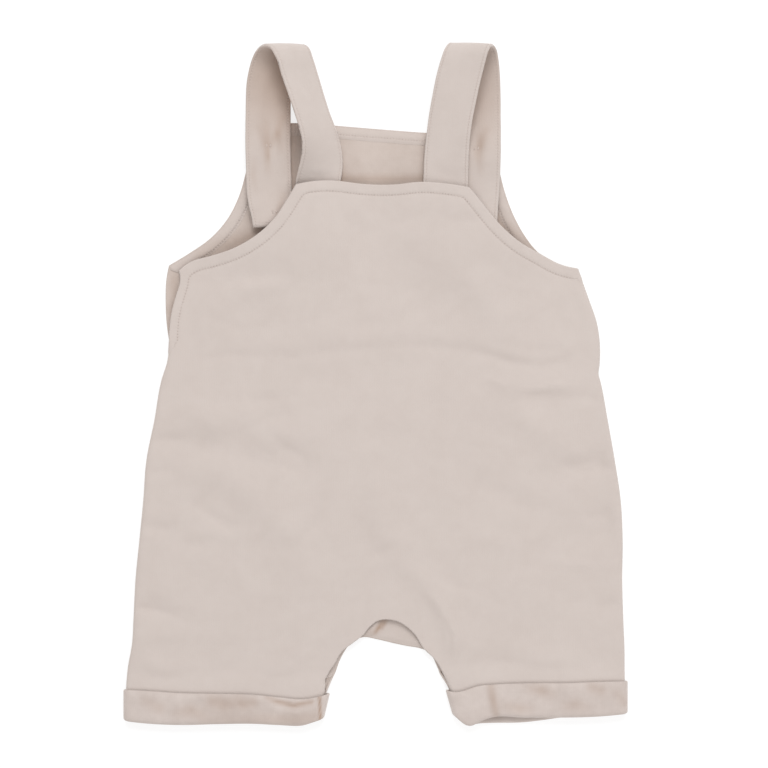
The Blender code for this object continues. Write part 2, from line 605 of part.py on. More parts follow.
def cuff(name, ends, slant, rows):
    """Band turned up round a leg: outer wall, bend at the bottom and a short return inside the leg."""
    rows = np.array(rows)
    low, high = FRONT_Z, CUFF_TOP_Z
    radius = (high - low) / 2
    x0, x1 = ends[0] + CLOTH / 2 + radius, ends[1] - CLOTH / 2 - radius
    loop = []
    for i in range(CUFF_ACROSS):
        loop.append((x0 + (x1 - x0) * i / CUFF_ACROSS, low, 0.0, -1.0, 0.0))
    for i in range(CUFF_TURN):
        turn = math.pi * i / CUFF_TURN
        loop.append((x1 + radius * math.sin(turn), low + radius * (1 - math.cos(turn)),
                     math.sin(turn), -math.cos(turn), (1 - math.cos(turn)) / 2))
    for i in range(CUFF_ACROSS):
        loop.append((x1 + (x0 - x1) * i / CUFF_ACROSS, high, 0.0, 1.0, 1.0))
    for i in range(CUFF_TURN):
        turn = math.pi * i / CUFF_TURN
        loop.append((x0 - radius * math.sin(turn), high - radius * (1 - math.cos(turn)),
                     -math.sin(turn), math.cos(turn), (1 + math.cos(turn)) / 2))
    half = CLOTH / 2
    inner = -CUFF_LIFT
    middle = inner / 2
    bend_out = half - middle
    bend_in = -middle - half
    grid = []
    for x, z, nx, nz, above in loop:
        def read(column):
            return float(np.interp(x, rows[:, 0], rows[:, column]))
        top = read(3) + (read(1) - read(3)) * above
        bottom = read(4) + (read(2) - read(4)) * above
        puff = read(5) * above
        centre = bottom + bend_out
        profile = [(half - 0.25, top - 0.1), (half, top - 0.7), (half + puff, (top + bottom) / 2),
                   (half + puff / 3, centre + 2.0), (half, centre)]
        for turn in (45, 90, 135):
            profile.append((middle + bend_out * math.cos(math.radians(turn)),
                            centre - bend_out * math.sin(math.radians(turn))))
        profile += [(inner - half, centre), (inner - half, bottom + CUFF_RETURN), (inner, bottom + CUFF_RETURN + 0.25),
                    (inner + half, bottom + CUFF_RETURN), (inner + half, centre), (middle, centre - bend_in),
                    (-half, centre), (-half + puff, (top + bottom) / 2), (-half, top - 0.7), (0.0, top)]
        lean = (slant[0] * float(smooth_step((ends[0] + SLANT_REACH - x) / SLANT_REACH))
                + slant[1] * float(smooth_step((x - ends[1] + SLANT_REACH) / SLANT_REACH)))
        grid.append([(x + nx * out + lean * (top - y), y, z + nz * out) for out, y in profile])
    grid = np.array(grid)
    count, ring = grid.shape[:2]
    faces = []
    for i in range(count):
        for j in range(ring):
            a, b = i * ring + j, i * ring + (j + 1) % ring
            c, d = ((i + 1) % count) * ring + (j + 1) % ring, ((i + 1) % count) * ring + j
            faces += [(a, b, c), (a, c, d)]
    return solid(name, grid.reshape(-1, 3), faces, CUFF)


def button(name, x, y, z):
    """Round button with a soft rim and a dished face."""
    profile = ((0.0, 0.35), (3.0, 0.35), (3.9, 0.0), (4.8, 0.1), (5.4, 0.7), (BUTTON_R, 1.2), (5.0, 1.9),
               (3.5, BUTTON_THICK), (0.0, BUTTON_THICK))
    sides = 20
    points = [(x, y, z + profile[0][1])]
    for radius, height in profile[1:-1]:
        for i in range(sides):
            turn = 2 * math.pi * i / sides
            points.append((x + radius * math.cos(turn), y + radius * math.sin(turn), z + height))
    points.append((x, y, z + profile[-1][1]))
    faces = []
    bands = len(profile) - 2
    for i in range(sides):
        faces.append((0, 1 + (i + 1) % sides, 1 + i))
        for k in range(bands - 1):
            a, b = 1 + k * sides + i, 1 + k * sides + (i + 1) % sides
            faces += [(a, b, b + sides), (a, b + sides, a + sides)]
        last = 1 + (bands - 1) * sides
        faces.append((last + i, last + (i + 1) % sides, len(points) - 1))
    return solid(name, np.array(points), faces, BUTTON)


# The back, one piece from neck edge to hems
back = Panel(BACK_EDGES, BACK_STEP)
back.mesh()
back.lift(back_height, back_seam)
cloth("back_panel", back.middle, back.normal, back.tris, CLOTH, OUTER)

# The front, with the outlines of the two strips that are sewn on its inner face
front = Panel(FRONT_EDGES, FRONT_STEP)
facing_run = front.run("right armhole", "left armhole", skip_first=1)
facing_line = front.rings[-1][facing_run] + front.inward[facing_run] * FACING_WIDTH
facing_line[-1] = front.rings[-1][(facing_run[-1] + 1) % len(front.loop)]
facing_band = front.band(facing_run, dense_near(facing_line))
inseam_run = front.run("left inseam", "right inseam", skip_first=1, skip_last=1)
inseam_band = front.band(inseam_run, smooth_curve(INSEAM_INNER, FRONT_STEP))
spots = []
for label, spot_x, spot_y, spot_z in BUTTONS:
    if spot_z == 0:
        for ring_r, ring_n in ((0.01, 1), (7.3, 12), (11.0, 14), (15.0, 14), (19.5, 14)):
            turns = np.arange(ring_n) * 2 * math.pi / ring_n
            spots.append(np.stack([spot_x + ring_r * np.cos(turns), spot_y + ring_r * np.sin(turns)], axis=1))
front.mesh(spots)
front.lift(front_height, front_seam)
cloth("front_panel", front.middle, front.normal, front.tris, CLOTH, INNER)

# The strips lie on the front's inner face and are made from its points
on_front = CLOTH / 2 + GAP
cloth("front_facing", front.middle, front.normal, front.part_of(facing_band), FACING_THICK, TAPE,
      raised=on_front + FACING_THICK / 2, rim=0.25)
cloth("inseam_facing", front.middle, front.normal, front.part_of(inseam_band), INSEAM_THICK, TAPE,
      raised=on_front + INSEAM_THICK / 2, rim=0.25)

# Straps, cuffs and buttons
swept("strap_left", LEFT_STRAP, LEFT_SKEW, STRAP_STEP, STRAP_WIDTH, STRAP_THICK, OUTER)
swept("strap_right", RIGHT_STRAP, RIGHT_SKEW, STRAP_STEP, STRAP_WIDTH, STRAP_THICK, OUTER)
for label, sizes in CUFFS.items():
    cuff(label, sizes["ends"], sizes["slant"], sizes["rows"])
for label, spot_x, spot_y, spot_z in BUTTONS:
    button(label, spot_x, spot_y, spot_z)

# Put the middle of the whole box on the origin, its lowest point at height 0
corners = []
for item in bpy.data.objects:
    corners.append([v.co[:] for v in item.data.vertices])
corners = np.vstack(corners)
low, high = corners.min(axis=0), corners.max(axis=0)
shift = Vector((-(low[0] + high[0]) / 2, -(low[1] + high[1]) / 2, -low[2]))
for item in bpy.data.objects:
    for vertex in item.data.vertices:
        vertex.co += shift
    item.data.update()
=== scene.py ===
"""Short dungarees for a baby in soft brushed sweatshirt cloth, laid flat on a pale surface with the back up.

X runs to the right across the garment, Y from the cuffs up to the straps, Z up from the surface. Sizes
are in millimetres and turn into metres where the meshes are made.
"""
import math

import bmesh
import bpy
import numpy as np
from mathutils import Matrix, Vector, kdtree, noise
from mathutils.geometry import delaunay_2d_cdt


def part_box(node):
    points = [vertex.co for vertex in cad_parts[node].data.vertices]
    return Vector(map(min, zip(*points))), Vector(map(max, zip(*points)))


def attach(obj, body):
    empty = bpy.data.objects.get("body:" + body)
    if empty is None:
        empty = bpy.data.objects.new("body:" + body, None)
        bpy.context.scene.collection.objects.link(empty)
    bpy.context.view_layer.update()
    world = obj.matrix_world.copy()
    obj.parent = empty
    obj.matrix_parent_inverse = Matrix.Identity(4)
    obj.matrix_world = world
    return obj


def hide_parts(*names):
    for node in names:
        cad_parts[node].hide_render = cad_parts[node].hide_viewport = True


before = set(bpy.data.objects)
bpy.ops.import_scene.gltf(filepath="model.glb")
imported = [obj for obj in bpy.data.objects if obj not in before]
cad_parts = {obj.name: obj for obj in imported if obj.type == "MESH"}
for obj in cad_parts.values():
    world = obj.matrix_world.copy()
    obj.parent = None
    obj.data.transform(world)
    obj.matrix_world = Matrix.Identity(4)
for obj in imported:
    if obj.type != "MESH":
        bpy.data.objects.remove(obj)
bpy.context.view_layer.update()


# ---- Back -------------------------------------------------------------------------------------
# One piece of brushed sweatshirt cloth from the neck edge to the hems. Armholes, neck edge and the
# open vent on the left have a turned hem, topstitched; the sides roll down into the side seams.

MM = 0.001
CLOTH = 1.5             # wall of the cloth
SEAM_GAP = 0.1          # air between front and back along the side seams
SEAM_RIM = 0.6          # rounding of the edges that meet in a seam
ROLL = 1.4              # radius, in plan, of the rolled side seams
SEAM_Z = 2.7            # height of the side seams over the surface
FRONT_Z = CLOTH / 2     # middle of the front's wall where it lies on the surface
BACK_LOW = 4.0          # middle of the back's wall where it lies on the front
BACK_EDGE = 5.4         # the same beside the rolled side seams
SIDE_SOFT = 16.0        # distance over which the back comes down from the side seams
VENT_FOOT = 10.0        # above this the left edge is an open vent and lies lower than a seam does
VENT_FADE = 30.0        # length over which it rises to the seam below
FOLD_FADE = 12.0        # folds die away over this distance from the side seams
LEG_TOP_Z = 6.2         # middle of the back's wall inside the cuff
CUFF_LIFT = 2.0         # how far the leg is lifted over the lower wall of the cuff
RAMP = 12.0             # length over which the legs rise to the cuffs
BUTTON_THICK = 2.0      # of the buttons under the bib
BUMP_R = 7.5            # flat-topped patch of the bib over each button under it
BUMP_FALL = 12.0        # width of the slope round that patch
BACK_STEP = 2.3         # spacing of the points
STITCH_PITCH = 1.9
HEM_RISE = 0.3          # how far a turned hem stands over the single cloth
HEM_GROOVE = 0.32       # how deep the topstitching draws it in
GROOVE_HALF = 0.8       # how far from the stitch line that reaches
HEM_PUCKER = 0.12       # height of the small waves beside it
FOLD_SCALE = 1.9        # heights in the table of large folds are taken times this
CREASE_SCALE = 1.4      # the same for the finer creases
CREASE_RAISED = 0.35    # all of the creased surface lies this much higher, so that troughs stay over the front
CREASE_DEEPEST = -0.6

BUTTON_SPOTS = {
    # name: x, y, height of the underside
    "button_left": (-68.4, 152.6, 0),
    "button_right": (64.4, 149.8, 0),
    "spare_button_left": (-64.8, 109.2, 1.8),
    "spare_button_right": (63.2, 108, 1.8),
}
low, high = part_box("button_left")
# from places in the tables, here turned into metres, to places in the frame: the left button tells how far
TABLE_SHIFT = np.array([(low.x + high.x) / 2 - BUTTON_SPOTS["button_left"][0] * MM,
                        (low.y + high.y) / 2 - BUTTON_SPOTS["button_left"][1] * MM,
                        low.z - BUTTON_SPOTS["button_left"][2] * MM])

LEFT_SIDE = (
    # x, y down the side seam from the foot of the vent into the cuff
    (-132.4, 25), (-133.4, 14.7), (-137.3, 1.9), (-141.8, -23.7), (-146.9, -49.3), (-148.9, -74.9),
    (-151.4, -100.5), (-153.9, -126.1), (-155.2, -151.7), (-156, -166), (-159, -184),
    (-159.7, -197), (-159.6, -209),
)
RIGHT_SIDE = (
    # x, y down the side seam from the armhole into the cuff
    (129.6, 73.3), (136.8, 53.6), (142, 38), (143.9, 22.1), (143.5, 11), (142.9, 6), (144.2, 1),
    (148.8, -23.7), (153.3, -49.3), (157.1, -74.9), (158.4, -100), (158.1, -126.1), (158.8, -151.7),
    (159.6, -172), (159.5, -190), (159.6, -204.5),
)
LEFT_HEM = ((-159.6, -209), (-120, -211.8), (-75, -211.4), (-34.4, -209))
BACK_EDGES = (
    # name, rolled into a seam, rows of x, y; anticlockwise
    ("vent", 0, ((-125.9, 72.4), (-125.4, 64.4), (-127.4, 57.6), (-130.9, 44.6), (-132.2, 33), (-132.4, 25))),
    ("left side", 1, LEFT_SIDE),
    ("left hem", 1, LEFT_HEM),
    ("left leg in cuff", 1, ((-34.4, -209), (-32.8, -199), (-32.4, -190.5))),
    ("left inner leg", 0, ((-32.4, -190.5), (-30.4, -186), (-26.4, -180), (-22, -172.4),
                           (-14.3, -166.4), (-8, -161.4), (-3.6, -156), (1.4, -152.2), (6.9, -151.3))),
    ("right inner leg", 0, ((6.9, -151.3), (13, -152.3), (19, -155.4), (25, -161), (30.5, -169.7),
                            (38.9, -178.2), (43.2, -186))),
    ("right leg in cuff", 1, ((43.2, -186), (47.4, -195), (49.8, -204.5))),
    ("right hem", 1, ((49.8, -204.5), (66, -206), (110, -206), (159.6, -204.5))),
    ("right side", 1, RIGHT_SIDE[::-1]),
    ("right armhole", 0, ((129.6, 73.3), (118.8, 76), (105.4, 82.8), (92, 90.4), (80.4, 100.4),
                          (71.6, 110.6), (65.2, 118.4), (59.8, 125))),
    ("neck", 0, ((59.8, 125), (45, 127.4), (30.5, 128.7), (12, 127.2), (-8.8, 127.7), (-28.4, 129.7),
                 (-40, 129.1), (-50.9, 127))),
    ("left armhole", 0, ((-50.9, 127), (-56.5, 117.4), (-64.4, 105.6), (-77, 94), (-90.4, 86.4),
                         (-105, 81.6), (-118, 78), (-125.9, 72.4))),
)
BACK_HEMS = {"right armhole": 7, "neck": 6.9, "left armhole": 7.2, "vent": 5.4}
VENT_FOOT_STITCHES = ((-127, 27), (-127.6, 25.2), (-130, 24.9))

BACK_FOLDS = (
    # width to where it has died away to a third, then x, y and height or depth along it
    (8, ((-126, 23, 0.06), (-91, 27, 0.11), (-52, 26, 0.06), (-22, 30, 0.15), (10, 32, 0.09),
           (34, 32.6, 0.18), (60, 30, 0.24), (86.8, 23, 0.33), (104, 20.6, 0.26), (120, 23, 0.11))),
    (5, ((-128, 14.7, -0.11), (-104, 16.8, -0.06), (-91, 17.6, -0.18), (-60, 19, -0.06),
           (-22, 20.6, -0.18), (8, 22, -0.09), (34, 23, -0.18), (60, 20.5, -0.2), (86.8, 13.5, -0.33),
           (104, 10.8, -0.26), (120, 13.5, -0.24), (134, 20, -0.11))),
    (15, ((-110, 2, -0.3), (-60, 6, -0.4), (-22, 8, -0.5), (34, 10, -0.5), (70, 6, -0.4))),
    (6.5, ((72, 2, 0.3), (90.6, -2.4, 0.7), (120, -1.8, 0.7), (134, 2, 0.3))),
    (12, ((20, 103, 0.4), (41, 87.5, 1), (66, 62, 1.2), (80, 40, 1.2), (86, 24, 0.4))),
    (10, ((-46, 84, 0.4), (-68, 68, 1.1), (-94, 54, 1.2), (-110, 38, 0.4))),
    (8, ((12, -112, 0.4), (34, -127, 0.8), (46, -143, 0.8), (51, -163, 0.7), (48, -184, 0.4))),
    (10, ((-138, -39, -0.5), (-112, -41, -0.9), (-84, -45, -0.6), (-52, -51, -1.2))),
    (11, ((-118, -54, 0.6), (-100, -58, 1.1), (-78, -72, 1.2), (-54, -98, 0.9), (-44, -118, 0.4))),
    (9, ((-120, -18, 0.3), (-104, -25, 1.1), (-86, -20, 0.7), (-66, -34, 0.5))),
    (9, ((-26, -152, 0.6), (-48, -174, 1.3), (-62, -184, 0.8))),
    (7, ((-153, -142.7, -1.3), (-140, -146, -1), (-124, -149, -0.3))),
    (8, ((152, -92, -1.2), (138, -97, -0.9), (120, -100, -0.3))),
    (8, ((146, -50, -1.3), (132, -55, -1), (108, -58, -0.4))),
    (9, ((84, -14, 0.4), (100, -25, 1.2), (114, -34, 0.8), (126, -44, 0.3))),
    (10, ((-4, -46, 0.4), (0, -70, 1.1), (4, -94, 1), (20, -104, 0.6))),
    (9, ((52, -54, -0.3), (70, -66, -0.9), (100, -81, -0.8), (124, -88, -0.3))),
    (8, ((84, -168, 0.3), (103, -176, 0.9), (126, -178, 0.4))),
    (7, ((-148, -178, 0.5), (-134, -184, 0.9), (-118, -182, 0.4))),
)
BACK_CREASES = (
    # the same for the finer creases that lie on the large folds
    (3.4, ((28, -129, 0.1), (40, -142, 0.5), (45.8, -157, 0.7), (48.1, -168.6, 0.6), (49.2, -178, 0.2))),
    (3, ((-112, 16.4, -0.1), (-91, 17.6, -0.35), (-70, 18.6, -0.1), (-52, 15.8, -0.35), (-30, 19.8, -0.1))),
    (3.4, ((-24, 21.8, -0.15), (8, 22.6, -0.2), (34, 24.2, -0.4), (53.8, 22.3, -0.25), (73.6, 17.4, -0.5),
           (86.8, 13.4, -0.6), (104, 10.2, -0.35), (120, 12.6, -0.4), (131, 19.6, -0.2))),
    (3.4, ((76, 26, -0.2), (98, 21, -0.5), (118, 22, -0.4))),
    (1.3, ((92, -4.4, 0.2), (100, -4.6, 0.65), (112, -2.4, 0.7), (124, -0.4, 0.2))),
    (1.6, ((70, 3, 0.1), (76, 1, 0.4), (84, -1.4, 0.2))),
    (3.4, ((96, -9, -0.1), (110, -8.6, -0.4), (126, -8.4, -0.3), (139, -9.6, -0.6))),
    (4, ((126, 58, -0.2), (131, 40, -0.5), (130, 24, -0.3))),
    (5, ((112, 62, -0.1), (117, 44, -0.4), (116, 28, -0.2))),
    (1.2, ((-121, 70.5, -0.3), (-128, 69, -0.3))),
    (4, ((-78, -12, -0.3), (-66, -10.6, -0.7), (-54, -8, -0.3))),
    (4, ((-82, -29, -0.3), (-70, -24, -0.8), (-58, -20, -0.3))),
    (4.4, ((-70, -30, -0.4), (-60, -40, -0.9), (-50, -52, -0.5))),
    (4, ((-74, -52, -0.3), (-62, -49, -0.8), (-48, -50, -0.4))),
    (4, ((-110, -74, -0.3), (-94, -62, -0.7), (-80, -50, -0.4))),
    (4, ((-116, -77, -0.3), (-104, -86, -0.7), (-94, -92, -0.9), (-84, -90, -0.2))),
    (4, ((-53, -108, -0.3), (-44, -96, -0.6), (-34, -84, -0.3))),
    (4, ((-142, -36, -0.8), (-130, -36.6, -0.9), (-120, -35, -0.3))),
    (3.6, ((-146, -58, -0.6), (-132, -56, -0.4))),
    (4, ((-149, -92, -0.7), (-138, -93, -0.7), (-126, -95, -0.2))),
    (4, ((-126, -102, -0.2), (-112, -104, -0.5), (-98, -101, -0.2))),
    (1.9, ((-154, -143.2, -0.9), (-142, -145.6, -0.8), (-130, -148.4, -0.3))),
    (5, ((-150, -165, 0.3), (-134, -162, 0.5), (-112, -158, 0.2))),
    (4, ((-2, -110, -0.3), (3, -108.7, -0.7), (9, -106, -0.3))),
    (5, ((20, -90, -0.2), (28, -84, -0.5), (40, -80, -0.2))),
    (2.6, ((36.2, -135, 0.2), (46, -149.2, 0.7), (50.9, -160.1, 0.9), (51.4, -169.9, 0.9), (48.7, -181, 0.4))),
    (1.2, ((44, -150.6, -0.2), (48.2, -160.8, -0.6), (48.8, -169.6, -0.6), (46.6, -178.6, -0.3))),
    (2.6, ((44, -127, -0.2), (54, -131, -0.5), (66, -134, -0.2))),
    (5, ((58, -158, 0.3), (62, -170, 0.8), (58, -184, 0.6))),
    (4.6, ((66, -178, -0.2), (84, -181, -0.5), (100, -184, -0.2))),
    (4.4, ((-40, -168, -0.4), (-52, -176, -0.5), (-66, -178, -0.2))),
    (4, ((147, -84, -0.8), (136, -86, -0.5))),
    (3.4, ((150, -54, -0.7), (136, -55, -0.6), (118, -52, -0.2))),
    (2.4, ((154, -116, 0.2), (134, -117, 0.4), (112, -114, 0.2))),
    (4, ((155, -142, -0.5), (138, -143, -0.4), (120, -139, -0.1))),
    (6, ((60, -96, 0.2), (84, -104, 0.5), (108, -98, 0.2))),
    (7, ((-16, 62, 0.1), (-44, 54, 0.5), (-70, 48, 0.2))),
    (6, ((-30, 41, -0.1), (-6, 36, -0.4), (20, 38, -0.1))),
    (5, ((-104, 40, -0.2), (-86, 34, -0.5), (-64, 36, -0.2))),
)
BACK_WAVES = (
    # soft random waves: height, slant against Y, stretch along Y, distance between bumps, seed
    (0.45, 0.4, 1.5, 34, 3), (0.30, -0.5, 1.7, 17, 5), (0.08, 0, 1, 6, 9),
)
BACK_LIFTS = (
    # x, y, half_x, half_y, fall, height: where the back stands off the front by itself
    (6, -154, 4, 3, 22, 4.7),
    (6, -172, 36, 30, 14, 4.1),
)
BACK_SUPPORTS = (
    # x, y, half_x, half_y, fall, height: where straps, buttons and facings lie under it
    (-36.8, 124, 16, 8, 30, 6.2),
    (-65, 110, 15.5, 13, 48, 8.9),
    (34, 124, 6, 8, 32, 7.6),
    (45, 124, 4, 8, 34, 9.2),
    (56, 124, 5, 8, 36, 10.6),
    (64, 108, 15.5, 13, 48, 8.9),
    (-98, 84, 40, 14, 12, 4.1),
    (116, 84, 30, 14, 12, 4.1),
    (-130, 50, 8, 30, 12, 3.9),
    (-34, -190, 4, 7, 14, 4.9),
    (46, -187, 4, 7, 14, 4.9),
)


def smooth_step(value):
    """0 below 0, 1 above 1, with a soft rise between."""
    part = np.clip(value, 0.0, 1.0)
    return part * part * (3.0 - 2.0 * part)


def unit(rows):
    """The same directions, all of length 1."""
    return rows / np.linalg.norm(rows, axis=1)[:, None]


def left_of(ahead):
    """Directions in plan, turned a quarter turn to the left."""
    return np.stack([-ahead[:, 1], ahead[:, 0]], axis=1)


def read_at(wanted, along, rows):
    """The rows at other distances along the line that they belong to."""
    return np.stack([np.interp(wanted, along, column) for column in rows.T], axis=1)


def even_line(line, step, measured=2, least=2):
    """The same line with evenly spaced points; its first columns are the ones in space."""
    along = np.concatenate([[0], np.cumsum(np.linalg.norm(np.diff(line[:, :measured], axis=0), axis=1))])
    return read_at(np.linspace(0, along[-1], max(least, round(along[-1] / step)) + 1), along, line)


def smooth_curve(rows, step, measured=2):
    """Evenly spaced points on a smooth curve through three rows or more; the first columns are the ones in space."""
    rows = np.array(rows, float)
    chord = np.linalg.norm(np.diff(rows[:, :measured], axis=0), axis=1)
    slope = np.diff(rows, axis=0) / chord[:, None]
    tangent = np.empty_like(rows)
    share = (chord[:-1] / (chord[:-1] + chord[1:]))[:, None]
    tangent[1:-1] = slope[:-1] * (1 - share) + slope[1:] * share
    tangent[0] = 1.5 * slope[0] - 0.5 * tangent[1]
    tangent[-1] = 1.5 * slope[-1] - 0.5 * tangent[-2]
    t = np.linspace(0, 1, 13)[1:, None]
    dense = [rows[:1]]
    for i, length in enumerate(chord):
        dense.append(rows[i] * (2 * t**3 - 3 * t**2 + 1) + tangent[i] * length * (t**3 - 2 * t**2 + t)
                     + rows[i + 1] * (3 * t**2 - 2 * t**3) + tangent[i + 1] * length * (t**3 - t**2))
    return even_line(np.vstack(dense), step, measured, 1)


def inside(points, polygon):
    """True for each point within the closed polygon."""
    found = np.zeros(len(points), bool)
    x, y = points[:, 0], points[:, 1]
    for (x0, y0), (x1, y1) in zip(polygon, np.roll(polygon, -1, axis=0)):
        if y0 != y1:
            spans = (y0 > y) != (y1 > y)
            found ^= spans & (x < x0 + (y - y0) * (x1 - x0) / (y1 - y0))
    return found


def nearest(points, line, closed=False):
    """Distance in plan from each point to a line, how far along the line that is, and on which side."""
    start = line if closed else line[:-1]
    end = np.roll(line, -1, axis=0) if closed else line[1:]
    best = np.full(len(points), 1e9)
    where = np.zeros(len(points))
    side = np.ones(len(points))
    gone = 0.0
    for a, b in zip(start, end):
        span = b - a
        length = max(float(np.hypot(*span)), 1e-9)
        off = points - a
        t = np.clip((off @ span) / length**2, 0, 1)
        away = np.hypot(*(off - t[:, None] * span).T)
        closer = away < best - 1e-9
        best = np.where(closer, away, best)
        where = np.where(closer, gone + t * length, where)
        side = np.where(closer, np.sign(span[0] * off[:, 1] - span[1] * off[:, 0]), side)
        gone += length
    return best, where, side


def neighbours(count):
    """Pairs of neighbours round a closed ring."""
    return [(i, (i + 1) % count) for i in range(count)]


def vertex_normals(points, tris):
    """Normal at each point, weighted by the faces round it."""
    a, b, c = (points[tris[:, k]] for k in range(3))
    face = np.cross(b - a, c - a)
    normal = np.zeros_like(points)
    for k in range(3):
        np.add.at(normal, tris[:, k], face)
    length = np.linalg.norm(normal, axis=1)
    return normal / np.where(length > 0, length, 1)[:, None]


def undulation(x, y, size, seed):
    """Soft random height, about -1 to 1, with the given distance between its bumps."""
    return np.array([noise.noise(Vector((a / size + seed, b / size - seed, seed))) for a, b in zip(x, y)])


class Panel:
    """Flat cloth cut to an outline, with close rows of points beside its edge and its stitch lines."""

    def __init__(self, edges, step, hems, foot=()):
        self.step = step
        points, rolled, names = [], [], []
        for name, roll, rows in edges:
            run = smooth_curve(rows, step)
            points.extend(run[:-1])
            rolled.extend([roll] * (len(run) - 1))
            names.extend([name] * (len(run) - 1))
        loop = np.array(points)
        rolled = np.array(rolled, float)
        names = np.array(names)
        for k in range(len(names)):
            if names[k] != names[k - 1]:
                rolled[k] = (rolled[k] + rolled[k - 1]) / 2
        left = left_of(unit(np.roll(loop, -1, axis=0) - loop))
        inward = unit(left + np.roll(left, 1, axis=0))
        mitre = np.clip(np.sum(inward * left, axis=1), 0.6, 1.0)
        self.inward = inward / mitre[:, None]
        self.loop, self.rolled, self.names = loop, rolled, names
        tip = loop + self.inward * (rolled * SEAM_RIM + (1 - rolled) * CLOTH / 2)[:, None]
        self.turns = np.radians([0.0, 30.0, 60.0, 90.0])
        self.rings = [tip + self.inward * ROLL * (1 - math.cos(turn)) for turn in self.turns]
        self.bands = []
        self.sewn = self.sewn_line(hems, foot)
        beside = left_of(unit(np.gradient(self.sewn, axis=0)))
        self.lines = [self.well_inside(self.sewn + beside * away) for away in (-1.2, -0.5, 0.0, 0.5, 1.2)]

    def well_inside(self, points, margin=0.5):
        """The points that lie within the outline, clear of its edge."""
        return points[inside(points, self.rings[-1]) & (nearest(points, self.rings[-1], True)[0] > margin)]

    def run(self, first, last, skip_first=0, skip_last=0):
        """Indices of the outline from the start of one edge to the end of another."""
        start = int(np.argmax(self.names == first)) + skip_first
        stop = len(self.names) - int(np.argmax(self.names[::-1] == last)) - skip_last
        if stop < start:
            stop += len(self.names)
        return np.arange(start, stop + 1) % len(self.loop)

    def sewn_line(self, hems, foot):
        """The topstitching along the hems, which follow each other round the outline, its corners softened."""
        chosen = self.run(list(hems)[0], list(hems)[-1])
        width = np.array([hems.get(name, 0.0) for name in self.names[chosen]])
        width[-1] = width[-2]
        line = self.loop[chosen] + self.inward[chosen] * width[:, None]
        keep = inside(line, self.loop)
        for name, wide in hems.items():
            keep &= nearest(line, self.loop[self.run(name, name)])[0] > wide - 0.3
        line = even_line(np.vstack([line[keep], *foot]), 1.0)
        for _ in range(6):
            line[1:-1] = (line[:-2] + 2 * line[1:-1] + line[2:]) / 4
        return self.well_inside(even_line(line, 0.95 * self.step))

    def band(self, indices, inner):
        """Closed strip between part of the outline and an inner line running the same way."""
        polygon = np.vstack([self.rings[0][indices], inner[::-1]])
        self.bands.append(polygon)
        return polygon

    def mesh(self):
        """Fill the outline with triangles."""
        fixed = list(self.rings) + list(self.bands)
        low, high = self.loop.min(axis=0), self.loop.max(axis=0)
        row_height = self.step * math.sqrt(3) / 2
        across = np.arange(low[0], high[0], self.step)
        lattice = []
        for j in range(int((high[1] - low[1]) / row_height) + 1):
            row_y = low[1] + (j + 0.5) * row_height
            lattice.append(np.stack([across + (j % 2) * self.step / 2, np.full(len(across), row_y)], axis=1))
        lattice = self.well_inside(np.vstack(lattice), 0.5 * self.step)
        for line, closed in [(line, False) for line in self.lines] + [(band, True) for band in self.bands]:
            lattice = lattice[nearest(lattice, line, closed)[0] > 0.45 * self.step]
        flat, links, base = [], [], 0
        for k, group in enumerate(fixed + self.lines + [lattice]):
            flat.extend(Vector(p) for p in group)
            if k < len(fixed):
                links.extend((base + i, base + j) for i, j in neighbours(len(group)))
            elif k < len(fixed) + len(self.lines):
                links.extend((base + i, base + i + 1) for i in range(len(group) - 1))
            base += len(group)
        verts, _, faces, source, _, _ = delaunay_2d_cdt(flat, links, [], 1, 1e-4)
        self.points = np.array([(v.x, v.y) for v in verts])
        self.tris = np.array([f[:3] for f in faces])
        count = len(self.loop)
        self.ring = np.full(len(verts), -1)
        self.place = np.full(len(verts), -1)
        for i, origins in enumerate(source):
            for origin in origins:
                if origin < count * len(self.rings):
                    self.ring[i] = origin // count
                    self.place[i] = origin % count
        a, b, c = (self.points[self.tris[:, k]] for k in range(3))
        area = (b[:, 0] - a[:, 0]) * (c[:, 1] - a[:, 1]) - (b[:, 1] - a[:, 1]) * (c[:, 0] - a[:, 0])
        self.tris[area < 0] = self.tris[area < 0][:, ::-1]
        away, self.along, side = nearest(self.points, self.sewn)
        self.stitch = away * side
        self.edge = nearest(self.points, self.loop, True)[0]
        self.painted_shade = np.zeros(len(self.points))

    def lift(self, height, seam):
        """Raise the flat cloth to its height, its seam edges rolled to the seam's height."""
        x, y = self.points.T
        z = height(x, y)
        on_ring = self.ring >= 0
        roll = np.where(on_ring, self.rolled[self.place], 0.0)
        turned = np.sin(self.turns[np.maximum(self.ring, 0)])
        z = np.where(on_ring, z + roll * (seam(x, y) - z) * (1 - turned), z)
        self.middle = np.stack([x, y, z], axis=1)
        normal = vertex_normals(self.middle, self.tris)
        next_ring = {self.place[i]: i for i in np.flatnonzero(self.ring == 1)}
        for i in np.flatnonzero(self.ring == 0):
            change = normal[i] - normal[next_ring[self.place[i]]]
            turned_on = normal[i] + change * self.rolled[self.place[i]]
            normal[i] = turned_on / np.linalg.norm(turned_on)
        self.normal = normal
        self.rim = np.where(on_ring, roll * SEAM_RIM + (1 - roll) * CLOTH / 2, CLOTH / 2)

    def hem_relief(self, rise, groove):
        """How far a hem stands over the cloth beside it, drawn in along its stitching."""
        hem = rise * smooth_step((GROOVE_HALF - self.stitch) / (2 * GROOVE_HALF))
        waves = undulation(self.along, 0.4 * self.stitch, 3.4, 7.0) * np.exp(-((self.stitch + 2.0) / 3.5) ** 2)
        return np.where(np.abs(self.stitch) < 11, hem - self.drawn_in(groove) + HEM_PUCKER * waves, 0.0)

    def drawn_in(self, groove):
        """How deep the topstitching draws in the cloth round it."""
        return groove * np.exp(-(self.stitch / GROOVE_HALF) ** 2)

